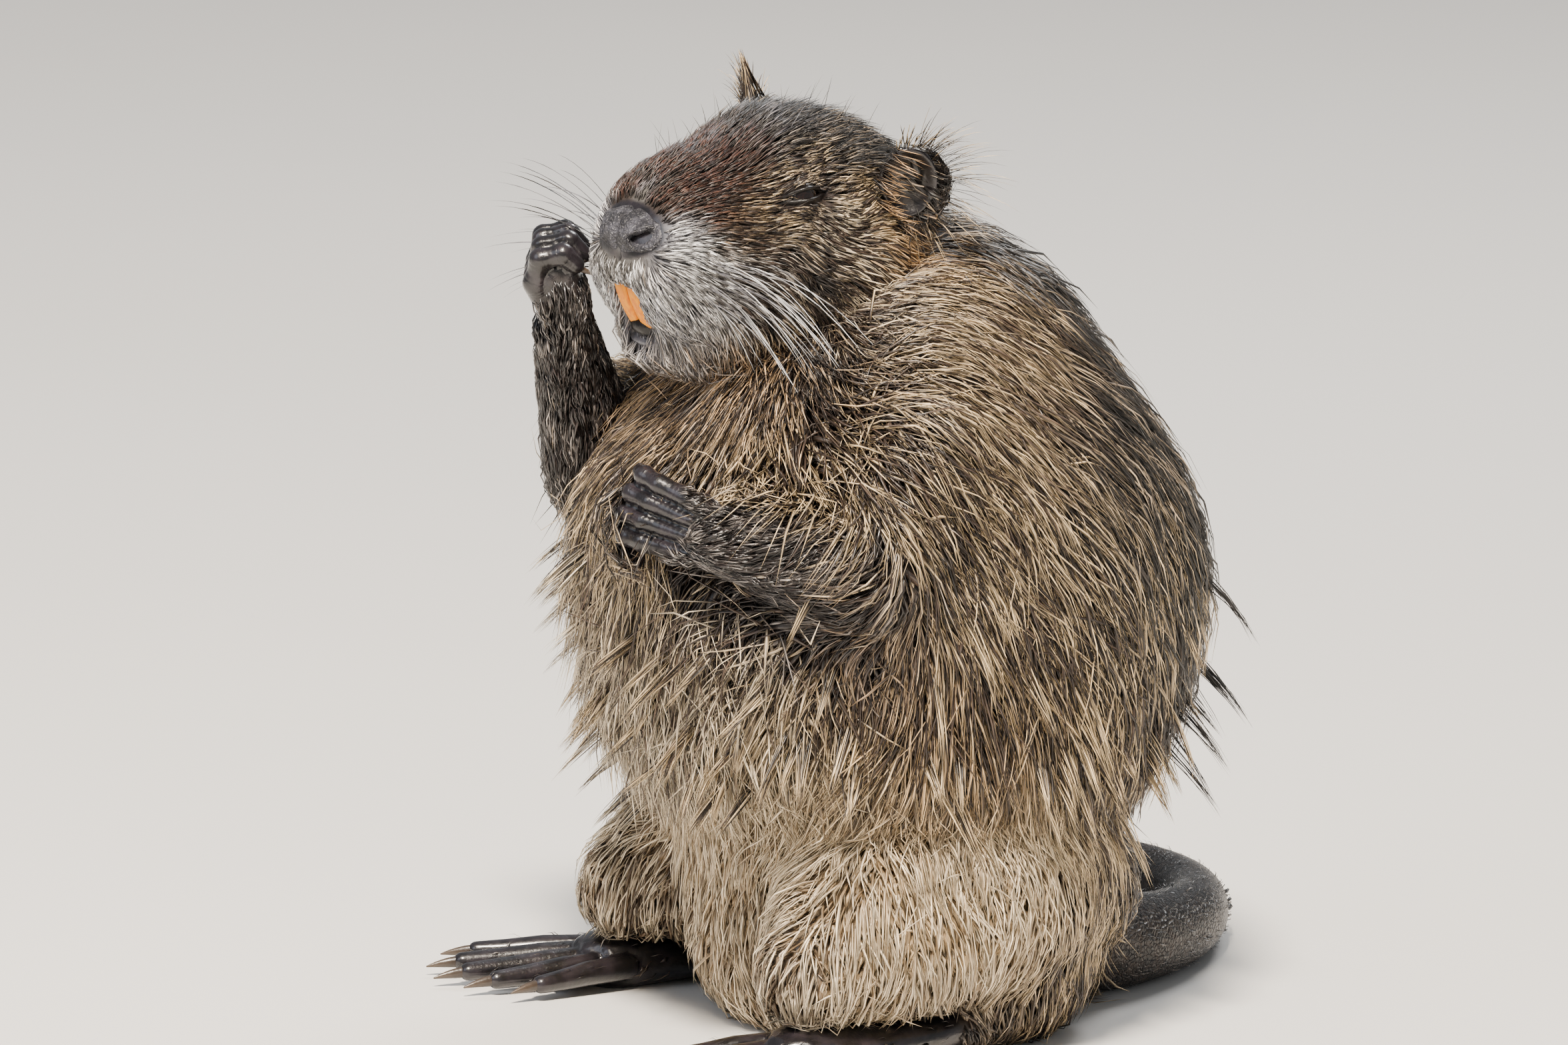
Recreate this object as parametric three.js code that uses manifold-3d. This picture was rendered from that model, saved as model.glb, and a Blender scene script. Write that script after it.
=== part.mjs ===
// A coypu (Myocastor coypus), life size, sitting up on its haunches and washing its face.
// The right forepaw is raised to the muzzle, the left one is folded against the belly, and the
// tail lies on the ground behind, curling to the animal's right.
//
// Frame: millimetres, +Z up, floor at Z = 0. The animal faces -Y and its left side is +X.
// Every solid of flesh reaches to the outside of the coat. Each part is a loft: a cross-section
// carried along a line. Parts are then carved in turn, so that each one ends a thin gap short
// of its neighbours and none overlaps another.
import * as THREE from "three";
import Module from "manifold-3d";
import { mergeVertices } from "three/addons/utils/BufferGeometryUtils.js";

const wasm = await Module();
wasm.setup();

// ---- Driving dimensions, mm ------------------------------------------------------------
const GAP = 0.35; // between neighbouring parts
const HEAD_YAW = 10.5; // degrees, the head turned to the animal's left
const HEAD_TILT = 2; // degrees, the left ear lower than the right
const NOSE_AT = [10, -113, 262]; // centre of the nose pad

// The body, level by level: height, centre along Y, half depth along Y, half width along X.
const BODY_LEVELS = [
  [0, 6, 50, 54],
  [10, 6, 61, 64],
  [26, 6, 67, 70],
  [48, 3, 68, 72],
  [73, 1, 73, 79],
  [98, -1, 89, 88],
  [125, 1, 99, 92],
  [149, -1, 104, 94],
  [175, -5, 102, 91],
  [200, -5, 86, 81],
  [223, -4, 68, 67],
  [243, 0, 47, 51],
  [257, 0, 24, 28],
];
const BODY_TOP = 262;
const BODY_POWER = 2.15; // of the superellipse, 2 being an ellipse
const NECK_CUT = { height: 206, slope: 24 }; // where neck and trunk part, and its tilt

// The skull line, from the nose back: distance back, top, bottom, half width, power.
const HEAD_STATIONS = [
  [4, 10, -17, 16, 2.3],
  [9, 18.5, -25, 22, 2.4],
  [16, 24, -31, 25, 2.4],
  [30, 30, -38, 27.5, 2.3],
  [44, 36, -45, 31, 2.2],
  [58, 40.5, -50, 35, 2.2],
  [75, 41.5, -53, 39, 2.1],
  [90, 37, -53, 40, 2.1],
  [104, 24, -49, 37, 2],
  [118, 7, -41, 31, 2],
];
const JAW_STATIONS = [
  [10, -22, -32, 8, 2.2],
  [15, -22, -37, 12, 2.2],
  [24, -24, -40, 16, 2.2],
  [38, -28, -43, 19, 2.1],
  [54, -32, -47, 20, 2],
];
const NOSE = { half: [14, 10, 9], back: 7.6, up: 3.2 };
const NOSTRIL = { half: [3.4, 3.8, 2], aside: 11.2, back: 3.2, up: 4.6, turn: 40, tip: 22 };
const EYE = { back: 52, aside: 25.2, up: 16.8, radius: 5.2, flat: 0.85 };
const EAR = { back: 86, aside: 37.5, up: 22, half: [5, 10.5, 13.5], turn: -32, tip: 14 };
const EAR_HOLLOW = { half: [3.1, 8.1, 10.7], out: 4.75, up: 1 };
const INCISOR = { width: 5.6, length: 21, thick: 3.4, back: 4.2, up: -14, lean: 25, curve: 16 };

const ARM = { shoulder: 26, elbow: 18, forearm: 16, wrist: 9.6 };
const LEFT_ARM = { shoulder: [60, -30, 198], elbow: [75, -52, 163], wrist: [53, -96, 175] };
const RIGHT_ARM = { shoulder: [-62, -38, 192], elbow: [-44, -88, 179], wrist: [-33, -109, 231] };
const HAND = { knuckles: 17, halfWidth: 11.5, flat: 0.64, digit: 3.1, tip: 2.5, fan: 2 };
const DIGIT_LENGTHS = [10, 8.2, 6.2]; // of the three joints of a finger
const DIGIT_SCALE = [0.86, 1, 1.02, 0.88]; // second to fifth finger
const DIGIT_PITCH = 5.75;
// Beside the wrist, in the hand's frame: along, towards the thumb, out of the back of the hand.
const PALM_LINE = [[-2, 0, 0], [6, 0, 0], [18, 0, 0.6]];
const PALM_PAD = { line: [[3, -5.5, -5.5], [8, -6, -6.5]], radii: [4.4, 4.2] };
const THUMB = { root: [7, 8.5, -2.5], fan: 38, lengths: [3.5, 3.5], bends: [20, 25], radii: [2.6, 2.4, 2] };
const CURLS = { left: [4, 16, 30], right: [38, 62, 58] }; // degrees at each finger joint
const HAND_CLAW = { length: 7, radius: 1.25, droop: 0.3 };

const THIGH_PATH = [
  [38, 50, 50],
  [42, 24, 55],
  [46, -8, 52],
  [54, -38, 42],
  [60, -58, 33],
];
const THIGH_RADII = [25, 40, 43, 35, 22];
const FOOT = {
  heel: [54, 12, 9],
  splay: 8, // degrees outward
  sole: [[0, 0, 2], [26, 0, 0], [54, 0, -1], [74, 0, -2]],
  soleRadii: [11, 12, 14.5, 17],
  soleFlat: 0.62,
  toes: [34, 45, 50, 48, 40],
  toeFan: [-15, -7, 0.5, 8, 17],
  toeDrop: 2.5, // degrees below level
  toeRadii: [4.4, 3.2],
  toePitch: 6.6,
  webThick: 2.2,
  webHeight: 3.4,
  webReach: 0.72, // share of each toe's length
  webDip: 9,
};
const FOOT_CLAW = { length: 12, radius: 1.9, droop: 0.1 };

const TAIL_PATH = [
  [0, 52, 34],
  [-2, 82, 18],
  [-12, 112, 14],
  [-34, 142, 12.4],
  [-68, 162, 11],
  [-106, 166, 9.6],
  [-142, 154, 8.2],
  [-170, 130, 6.8],
  [-186, 100, 5.6],
];
const TAIL_RADII = [22, 18, 15.2, 13.2, 11.7, 10.2, 8.7, 7.2, 5.2];
const TAIL_CUTS = [0.36, 0.68]; // shares of the path where its three lengths meet

const COLOURS = {
  coat: ["#8a6b45", 0.6],
  muzzle: ["#b9b3a6", 0.6],
  bareSkin: ["#2b2523", 0.4],
  scaly: ["#4a423b", 0.55],
  nose: ["#3d3a3c", 0.5],
  eye: ["#1a0f0a", 0.1],
  tooth: ["#e0701a", 0.3],
  claw: ["#3a322c", 0.45],
};

// ---- Lofting -----------------------------------------------------------------------------
const vec = (p) => new THREE.Vector3(...p);
const radians = THREE.MathUtils.degToRad;

// Smooth rows between the given ones: a Catmull-Rom blend of each column. `at` runs 0 to 1.
function rowAt(rows, at) {
  const x = THREE.MathUtils.clamp(at, 0, 1) * (rows.length - 1);
  const i = Math.min(Math.floor(x), rows.length - 2);
  const t = x - i;
  const row = (k) => rows[THREE.MathUtils.clamp(k, 0, rows.length - 1)];
  return rows[i].map((_, c) => {
    const [a, b, d, e] = [row(i - 1)[c], row(i)[c], row(i + 1)[c], row(i + 2)[c]];
    const bend = (2 * a - 5 * b + 4 * d - e) * t * t + (3 * b - a - 3 * d + e) * t * t * t;
    return 0.5 * (2 * b + (d - a) * t + bend);
  });
}

// One ring of a loft: a superellipse in the plane of `side` and `up`, `wide` to each side,
// `above` up and `below` down.
function ring(at, side, up, wide, above, below, power, sides) {
  return Array.from({ length: sides }, (_, i) => {
    const turn = (2 * Math.PI * i) / sides;
    const [c, s] = [Math.cos(turn), Math.sin(turn)];
    const x = Math.sign(c) * Math.abs(c) ** (2 / power) * wide;
    const y = Math.sign(s) * Math.abs(s) ** (2 / power) * (s > 0 ? above : below);
    return at.clone().addScaledVector(side, x).addScaledVector(up, y);
  });
}

// Skins a list of equal rings, closing both ends on their middles, and makes it a solid.
function solidOfRings(rings) {
  const sides = rings[0].length;
  const middle = (r) => r.reduce((sum, p) => sum.add(p), new THREE.Vector3()).divideScalar(sides);
  const points = [...rings.flat(), middle(rings[0]), middle(rings.at(-1))];
  const [first, last] = [points.length - 2, points.length - 1];
  const index = [];
  for (let i = 0; i < sides; i++) {
    const j = (i + 1) % sides;
    for (let r = 0; r + 1 < rings.length; r++) {
      const [a, b] = [r * sides, (r + 1) * sides];
      index.push(a + i, a + j, b + j, a + i, b + j, b + i);
    }
    const end = (rings.length - 1) * sides;
    index.push(first, j, i, last, end + i, end + j);
  }
  const geometry = new THREE.BufferGeometry().setFromPoints(points);
  geometry.setIndex(index);
  return solidOf(geometry);
}

// A three.js geometry as a solid, turned inside out if its faces point in.
function solidOf(geometry, matrix = new THREE.Matrix4()) {
  const bare = new THREE.BufferGeometry();
  bare.setAttribute("position", geometry.getAttribute("position").clone());
  if (geometry.index) bare.setIndex(geometry.index.clone());
  const merged = mergeVertices(bare.applyMatrix4(matrix), 1e-4);
  const triVerts = new Uint32Array(merged.index.array);
  const make = () =>
    new wasm.Manifold(
      new wasm.Mesh({ numProp: 3, vertProperties: merged.attributes.position.array, triVerts }),
    );
  const made = make();
  if (made.volume() > 0) return made;
  for (let i = 0; i < triVerts.length; i += 3) {
    [triVerts[i + 1], triVerts[i + 2]] = [triVerts[i + 2], triVerts[i + 1]];
  }
  return make();
}

// A round-ended tube through `points`. Radii are given at the points, `flat` squeezes it along
// `up`, `grow` adds to every radius, and `caps` are the angles of the rings that round its ends.
function limb(points, radii, options = {}) {
  const { grow = 0, sides = 12, steps = 2, flat = 1, up = null, caps = [65, 30] } = options;
  const curve = new THREE.CatmullRomCurve3(points, false, "centripetal");
  const count = (points.length - 1) * steps;
  const rows = radii.map((r) => [r]);
  const rings = [];
  const add = (t, shift, share) => {
    const along = curve.getTangent(t);
    const hint = up ?? (Math.abs(along.z) < 0.85 ? vec([0, 0, 1]) : vec([0, 1, 0]));
    const side = new THREE.Vector3().crossVectors(along, hint).normalize();
    const over = new THREE.Vector3().crossVectors(side, along).normalize();
    const r = rowAt(rows, t)[0] + grow;
    const at = curve.getPoint(t).addScaledVector(along, shift * r);
    rings.push(ring(at, side, over, r * share, r * share * flat, r * share * flat, 2, sides));
  };
  const angles = caps.map(radians);
  for (const a of angles) add(0, -Math.sin(a), Math.cos(a));
  for (let k = 0; k <= count; k++) add(k / count, 0, 1);
  for (const a of [...angles].reverse()) add(1, Math.sin(a), Math.cos(a));
  return solidOfRings(rings);
}

// ---- The trunk and neck --------------------------------------------------------------------
function bodyLoft(grow) {
  const levels = 12;
  const rings = [];
  for (let k = 0; k <= levels; k++) {
    const [z, y, deep, wide] = rowAt(BODY_LEVELS, k / levels);
    const at = vec([0, y, z]);
    const [w, d] = [wide + grow, deep + grow];
    rings.push(ring(at, vec([1, 0, 0]), vec([0, 1, 0]), w, d, d, BODY_POWER, 18));
  }
  const crown = BODY_LEVELS.at(-1);
  const at = vec([0, crown[1], BODY_TOP + grow]);
  rings.push(ring(at, vec([1, 0, 0]), vec([0, 1, 0]), 14, 12, 12, 2, 18));
  return solidOfRings(rings);
}

// A thick tilted plate whose underside is the plane where the neck meets the trunk.
function aboveNeckCut(lift) {
  const plate = new THREE.BoxGeometry(400, 400, 200);
  const move = new THREE.Matrix4().makeRotationX(radians(NECK_CUT.slope));
  const raise = new THREE.Matrix4().makeTranslation(0, 0, NECK_CUT.height + lift);
  return solidOf(plate, raise.multiply(move).multiply(new THREE.Matrix4().makeTranslation(0, 0, 100)));
}

// ---- The head --------------------------------------------------------------------------------
const headFrame = (() => {
  const [yaw, tilt] = [radians(HEAD_YAW), radians(HEAD_TILT)];
  const back = vec([-Math.sin(yaw), Math.cos(yaw), 0]);
  const level = vec([Math.cos(yaw), Math.sin(yaw), 0]);
  const up = vec([0, 0, Math.cos(tilt)]).addScaledVector(level, Math.sin(tilt));
  const left = level.clone().multiplyScalar(Math.cos(tilt)).add(vec([0, 0, -Math.sin(tilt)]));
  const at = (s, b, h) =>
    vec(NOSE_AT).addScaledVector(left, s).addScaledVector(back, b).addScaledVector(up, h);
  return { left, back, up, at };
})();

// A loft from the nose back, through stations of distance back, top, bottom, half width, power.
function headLoft(stations, grow, sides, steps) {
  const rings = [];
  const count = (stations.length - 1) * steps;
  const add = (row, shift, share) => {
    const [b, top, bottom, wide, power] = row;
    const high = ((top - bottom) / 2 + grow) * share;
    const at = headFrame.at(0, b + shift * (1 + grow / 10), (top + bottom) / 2);
    const w = (wide + grow) * share;
    rings.push(ring(at, headFrame.left, headFrame.up, w, high, high, power, sides));
  };
  const front = stations[0];
  const rear = stations.at(-1);
  add(front, -5.5, 0.35);
  add(front, -3.8, 0.7);
  for (let k = 0; k <= count; k++) add(rowAt(stations, k / count), 0, 1);
  add(rear, 8, 0.7);
  add(rear, 12, 0.3);
  return solidOfRings(rings);
}

// An ellipsoid in the head's frame, turned about the head's up axis and then tipped about its
// own front-to-back axis.
function headBall(s, b, h, [rs, rb, rh], grow = 0, turn = 0, tip = 0) {
  const basis = new THREE.Matrix4().makeBasis(headFrame.left, headFrame.back, headFrame.up);
  const place = new THREE.Matrix4().setPosition(headFrame.at(s, b, h)).multiply(basis);
  place.multiply(new THREE.Matrix4().makeRotationZ(radians(turn)));
  place.multiply(new THREE.Matrix4().makeRotationY(radians(tip)));
  place.multiply(new THREE.Matrix4().makeScale(rs + grow, rb + grow, rh + grow));
  return solidOf(new THREE.SphereGeometry(1, 10, 6), place);
}

// The nose pad with its two nostrils, which open to the front and side.
function noseSolid(grow) {
  let pad = headBall(0, NOSE.back, NOSE.up, NOSE.half, grow);
  if (grow > 0) return pad;
  for (const side of [-1, 1]) {
    const { half, aside, back, up, turn, tip } = NOSTRIL;
    pad = pad.subtract(headBall(side * aside, back, up, half, 0, side * turn, side * tip));
  }
  return pad;
}

// An upper incisor: a curved bar that comes down and back out of the upper lip.
function incisor(side, grow) {
  const rows = [];
  const bars = 5;
  for (let k = 0; k <= bars; k++) {
    const t = k / bars;
    const lean = radians(INCISOR.lean + INCISOR.curve * (t - 0.5));
    const b = INCISOR.back + INCISOR.length * t * Math.sin(lean);
    const h = INCISOR.up - INCISOR.length * t * Math.cos(lean);
    const at = headFrame.at(side * (INCISOR.width / 2 + GAP / 2), b, h);
    const half = INCISOR.width / 2 + grow;
    const thick = (INCISOR.thick / 2) * (t < 0.9 ? 1 : 0.55) + grow;
    const up = headFrame.back.clone().multiplyScalar(Math.cos(lean));
    up.addScaledVector(headFrame.up, Math.sin(lean));
    rows.push(ring(at, headFrame.left, up, half, thick, thick, 3, 8));
  }
  return solidOfRings(rows);
}

// The ear: a small upright disc, hollowed on the side that faces out and forward.
function ear(side, grow) {
  const [turn, tip] = [side * EAR.turn, side * EAR.tip];
  const disc = headBall(side * EAR.aside, EAR.back, EAR.up, EAR.half, grow, turn, tip);
  if (grow > 0) return disc;
  const s = side * (EAR.aside + EAR_HOLLOW.out * Math.cos(radians(turn)));
  const b = EAR.back + side * EAR_HOLLOW.out * Math.sin(radians(turn));
  return disc.subtract(headBall(s, b, EAR.up + EAR_HOLLOW.up, EAR_HOLLOW.half, 0, turn, tip));
}

const eyeBall = (side, grow) => {
  const { aside, back, up, radius, flat } = EYE;
  return headBall(side * aside, back, up, [radius, radius, radius * flat], grow);
};

// ---- Hands and feet ----------------------------------------------------------------------------
// A frame at a wrist or heel: `along` to the digits, `dorsal` out of the back of the hand or
// foot, and `radial` towards the first digit, which `mirror` puts on the right side.
function limbFrame(at, along, dorsal, mirror) {
  const a = vec(along).normalize();
  const d = vec(dorsal);
  d.addScaledVector(a, -d.dot(a)).normalize();
  const radial = new THREE.Vector3().crossVectors(a, d).multiplyScalar(mirror);
  const point = ([x, y, z]) =>
    vec(at).addScaledVector(a, x).addScaledVector(radial, y).addScaledVector(d, z);
  return { along: a, dorsal: d, radial, point };
}

// The line of a digit that starts at `root` and curls towards the palm by `bends` degrees.
function digitLine(frame, root, fan, lengths, bends) {
  const line = [root.clone()];
  const out = frame.along.clone().multiplyScalar(Math.cos(radians(fan)));
  out.addScaledVector(frame.radial, Math.sin(radians(fan)));
  let angle = 0;
  lengths.forEach((length, i) => {
    angle += radians(bends[i]);
    const step = out.clone().multiplyScalar(Math.cos(angle) * length);
    step.addScaledVector(frame.dorsal, -Math.sin(angle) * length);
    line.push(line.at(-1).clone().add(step));
  });
  return line;
}

// A claw that leaves the last stretch of a digit and curves down with it.
function clawSolid(line, frame, { length, radius, droop }, grow) {
  const end = line.at(-1);
  const ahead = end.clone().sub(line.at(-2)).normalize();
  const points = [-0.1, 0.4, 1].map((t) =>
    end
      .clone()
      .addScaledVector(ahead, t * length)
      .addScaledVector(frame.dorsal, -droop * t * t * length),
  );
  const radii = [radius, radius * 0.8, 0.4];
  return limb(points, radii, { grow, sides: 5, steps: 1, caps: [] });
}

const small = { sides: 5, steps: 1, caps: [50] };

function handParts(frame, bends) {
  const digits = DIGIT_SCALE.map((scale, i) => {
    const place = 1.5 - i; // counted from the middle of the four fingers
    const root = frame.point([HAND.knuckles, place * DIGIT_PITCH, 0.8]);
    return digitLine(frame, root, place * HAND.fan, DIGIT_LENGTHS.map((x) => x * scale), bends);
  });
  const palmRadii = [ARM.wrist * 0.95, HAND.halfWidth * 0.92, HAND.halfWidth];
  const palmShape = { sides: 8, steps: 1, flat: HAND.flat, up: frame.dorsal };
  const palm = (grow) => limb(PALM_LINE.map(frame.point), palmRadii, { grow, ...palmShape });
  const pad = (grow) => limb(PALM_PAD.line.map(frame.point), PALM_PAD.radii, { grow, ...small });
  const thumbLine = digitLine(frame, frame.point(THUMB.root), THUMB.fan, THUMB.lengths, THUMB.bends);
  const thumb = (grow) => limb(thumbLine, THUMB.radii, { grow, ...small });
  const digitRadii = [HAND.digit, HAND.digit, HAND.digit * 0.93, HAND.tip];
  const finger = (line) => (grow) => limb(line, digitRadii, { grow, ...small });
  return {
    flesh: [palm, pad, thumb, ...digits.map(finger)],
    claws: digits.map((line) => (grow) => clawSolid(line, frame, HAND_CLAW, grow)),
  };
}

const leftHandFrame = limbFrame(LEFT_ARM.wrist, [-0.86, -0.4, 0.16], [0.42, -0.88, 0.16], 1);
const rightHandFrame = limbFrame(RIGHT_ARM.wrist, [-0.05, -0.5, 0.86], [-0.55, -0.75, -0.35], -1);

// A hind foot: a long sole, five toes and the web between the first four.
function footParts(side) {
  const turn = radians(FOOT.splay);
  const heel = [side * FOOT.heel[0], FOOT.heel[1], FOOT.heel[2]];
  const frame = limbFrame(heel, [side * Math.sin(turn), -Math.cos(turn), 0], [0, 0, 1], side);
  const [ball, , drop] = FOOT.sole.at(-1);
  const toes = FOOT.toes.map((length, i) => {
    const root = frame.point([ball, (2 - i) * FOOT.toePitch, drop]);
    return digitLine(frame, root, -FOOT.toeFan[i], [length], [FOOT.toeDrop]);
  });
  const soleShape = { sides: 8, steps: 1, flat: FOOT.soleFlat };
  const sole = (grow) => limb(FOOT.sole.map(frame.point), FOOT.soleRadii, { grow, ...soleShape });
  const toe = (line) => (grow) => limb(line, FOOT.toeRadii, { grow, ...small, sides: 6 });
  const web = (grow) => webSolid(toes.slice(0, 4), frame, grow);
  return {
    flesh: [sole, web, ...toes.map(toe)],
    claws: toes.map((line) => (grow) => clawSolid(line, frame, FOOT_CLAW, grow)),
  };
}

// The skin between toes: a thin plate that reaches part of the way along each toe and dips
// back between two of them.
function webSolid(toes, frame, grow) {
  const reach = (line) => line[0].clone().lerp(line.at(-1), FOOT.webReach);
  const shape = new THREE.Shape();
  shape.moveTo(toes[0][0].x, toes[0][0].y);
  const start = reach(toes[0]);
  shape.lineTo(start.x, start.y);
  for (let i = 1; i < toes.length; i++) {
    const [p, q] = [reach(toes[i - 1]), reach(toes[i])];
    const dip = p.clone().lerp(q, 0.5).addScaledVector(frame.along, -FOOT.webDip);
    shape.quadraticCurveTo(dip.x, dip.y, q.x, q.y);
  }
  const end = toes.at(-1)[0];
  shape.lineTo(end.x, end.y);
  const depth = FOOT.webThick + 2 * grow;
  const plate = new THREE.ExtrudeGeometry(shape, { depth, bevelEnabled: false, curveSegments: 2 });
  return solidOf(plate, new THREE.Matrix4().makeTranslation(0, 0, FOOT.webHeight - depth / 2));
}

// ---- Legs and tail --------------------------------------------------------------------------------
// The haunch: thigh, knee and folded shank under one swelling of the coat.
function thigh(side, grow) {
  const path = THIGH_PATH.map(([x, y, z]) => vec([side * x, y, z]));
  return limb(path, THIGH_RADII, { grow, sides: 12, steps: 1, caps: [65, 40, 18] });
}

function tail(grow) {
  return limb(TAIL_PATH.map(vec), TAIL_RADII, { grow, sides: 9, steps: 1 });
}

// Three lengths of the tail, divided by thin plates across its path.
function tailLengths(whole) {
  const curve = new THREE.CatmullRomCurve3(TAIL_PATH.map(vec), false, "centripetal");
  let rest = whole;
  for (const cut of TAIL_CUTS) {
    const disc = new THREE.CylinderGeometry(30, 30, GAP, 20);
    const turn = new THREE.Quaternion().setFromUnitVectors(vec([0, 1, 0]), curve.getTangent(cut));
    const place = new THREE.Matrix4().compose(curve.getPoint(cut), turn, vec([1, 1, 1]));
    rest = rest.subtract(solidOf(disc, place));
  }
  const marks = [0, ...TAIL_CUTS, 1];
  const middles = marks.slice(1).map((m, i) => curve.getPoint((m + marks[i]) / 2));
  return middles.map((p) => nearest(rest.decompose(), p));
}

// The body of a decomposed solid whose box centre lies nearest to a point.
function nearest(bodies, point) {
  const away = (b) => {
    const { min, max } = b.boundingBox();
    return vec(min).add(vec(max)).multiplyScalar(0.5).distanceTo(point);
  };
  return bodies.reduce((best, b) => (away(b) < away(best) ? b : best));
}

// ---- Carving ------------------------------------------------------------------------------------
const floor = solidOf(
  new THREE.BoxGeometry(900, 900, 100),
  new THREE.Matrix4().makeTranslation(0, 0, -50),
);
const joined = (makers) => (grow) =>
  makers.map((make) => make(grow)).reduce((all, solid) => all.add(solid));
const largest = (solid) =>
  solid.decompose().reduce((best, b) => (b.volume() > best.volume() ? b : best));

// Each entry takes its place from the entries after it. `make(grow)` gives its solid, swollen
// by `grow` when it is used to carve the others.
const parts = [];
const part = (name, look, make) => parts.push({ name, look, make });

const feet = { left: footParts(1), right: footParts(-1) };
const hands = {
  left: handParts(leftHandFrame, CURLS.left),
  right: handParts(rightHandFrame, CURLS.right),
};
const arms = { left: LEFT_ARM, right: RIGHT_ARM };
const sides = { left: 1, right: -1 };

for (const [name, side] of Object.entries(sides)) {
  part(`eye_${name}`, "eye", (grow) => eyeBall(side, grow));
  part(`incisor_${name}`, "tooth", (grow) => incisor(side, grow));
  hands[name].claws.forEach((make, i) => part(`hand_claw_${name}_${i + 2}`, "claw", make));
  feet[name].claws.forEach((make, i) => part(`foot_claw_${name}_${i + 1}`, "claw", make));
}
part("nose", "nose", noseSolid);
for (const [name, side] of Object.entries(sides)) {
  part(`ear_${name}`, "bareSkin", (grow) => ear(side, grow));
  part(`hand_${name}`, "bareSkin", joined(hands[name].flesh));
  part(`foot_${name}`, "bareSkin", joined(feet[name].flesh));
}
part("head", "muzzle", (grow) => headLoft(HEAD_STATIONS, grow, 14, 1));
part("lower_jaw", "muzzle", (grow) => headLoft(JAW_STATIONS, grow, 10, 1));
for (const [name, arm] of Object.entries(arms)) {
  const [shoulder, elbow, wrist] = [arm.shoulder, arm.elbow, arm.wrist].map(vec);
  part(`forearm_${name}`, "coat", (grow) =>
    limb([elbow, wrist], [ARM.forearm, ARM.wrist], { grow, sides: 9 }));
  part(`upper_arm_${name}`, "coat", (grow) =>
    limb([shoulder, elbow], [ARM.shoulder, ARM.elbow], { grow, sides: 10 }));
}
for (const [name, side] of Object.entries(sides)) {
  part(`thigh_${name}`, "coat", (grow) => thigh(side, grow));
}
part("neck", "coat", (grow) => bodyLoft(grow).intersect(aboveNeckCut(-grow)));
part("trunk", "coat", bodyLoft);
part("tail", "scaly", tail);

// ---- The animal -----------------------------------------------------------------------------------
const animal = new THREE.Group();

function addMesh(name, look, solid) {
  const mesh = solid.getMesh();
  const geometry = new THREE.BufferGeometry();
  geometry.setAttribute("position", new THREE.BufferAttribute(mesh.vertProperties, 3));
  geometry.setIndex(new THREE.BufferAttribute(mesh.triVerts, 1));
  const [color, roughness] = COLOURS[look];
  const made = new THREE.Mesh(
    geometry,
    new THREE.MeshStandardMaterial({ color, roughness, metalness: 0 }),
  );
  made.name = name;
  animal.add(made);
}

const taken = [];
for (const { name, look, make } of parts) {
  let solid = make(0).subtract(floor);
  for (const other of taken) solid = solid.subtract(other);
  taken.push(make(GAP));
  if (name !== "tail") {
    addMesh(name, look, largest(solid));
    continue;
  }
  const lengths = tailLengths(largest(solid));
  ["tail_root", "tail_middle", "tail_tip"].forEach((n, i) => addMesh(n, look, lengths[i]));
}

export default animal;
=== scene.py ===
# %% [markdown]
# # A coypu, sitting up to wash its face
#
# A coypu (*Myocastor coypus*, also called nutria) is a large water rodent. This one has just left
# the water: its guard hairs hang together in pointed locks, straw-coloured at the tips over dark
# umber, and its hands, nose and tail are bare. It could be made as one sculpted block with a
# painted coat, but a coat lives by its outline. So a smooth skin is made first, a coat's depth
# inside the solid parts, and some hundred thousand thin tapered tufts are then combed over it.

import bmesh
import bpy
import numpy as np
from mathutils import Matrix


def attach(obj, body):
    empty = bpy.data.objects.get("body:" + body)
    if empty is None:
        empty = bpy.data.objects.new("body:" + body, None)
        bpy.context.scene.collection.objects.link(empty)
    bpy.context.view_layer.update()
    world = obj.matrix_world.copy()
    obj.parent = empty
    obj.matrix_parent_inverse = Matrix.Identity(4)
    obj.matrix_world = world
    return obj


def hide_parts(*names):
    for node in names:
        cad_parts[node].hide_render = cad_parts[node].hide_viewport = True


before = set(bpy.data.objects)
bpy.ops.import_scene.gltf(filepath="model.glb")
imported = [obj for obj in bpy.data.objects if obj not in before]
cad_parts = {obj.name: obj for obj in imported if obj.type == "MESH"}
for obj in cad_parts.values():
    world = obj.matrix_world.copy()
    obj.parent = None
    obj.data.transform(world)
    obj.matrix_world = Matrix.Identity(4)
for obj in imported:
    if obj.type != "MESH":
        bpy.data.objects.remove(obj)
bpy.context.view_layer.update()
MM = 0.001

# %% [markdown]
# ## The camera
#
# A long lens looks at the animal's left front from a few metres off, a little from above, so that
# the head is hardly larger than the trunk behind it. The camera could be turned with angles, but
# its three axes say the same thing more plainly: to the right, up, and back towards the lens. It
# leans a few degrees, as a camera held by hand does.

# %% Camera
AZIMUTH, ELEVATION, LEAN = np.radians([60.0, 12.0, 3.0])
DISTANCE = 3.5
FRAME_WIDTH = 0.5115  # metres across at the animal
SENSOR_MM = 36.0


def camera_axes(azimuth, elevation):
    """Right, up and back: the horizontal across the view, back being the way from animal to lens."""
    flat = np.cos(elevation)
    back = np.array([np.sin(azimuth) * flat, -np.cos(azimuth) * flat, np.sin(elevation)])
    right = np.array([np.cos(azimuth), np.sin(azimuth), 0.0])
    return right, np.cross(back, right), back


def standing(across, over, back, at):
    """The matrix that sets an object at a place, with its own axes across, over and back."""
    stand = np.eye(4)
    stand[:3, :4] = np.stack([across, over, back, at], axis=1)
    return Matrix(stand.tolist())


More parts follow.
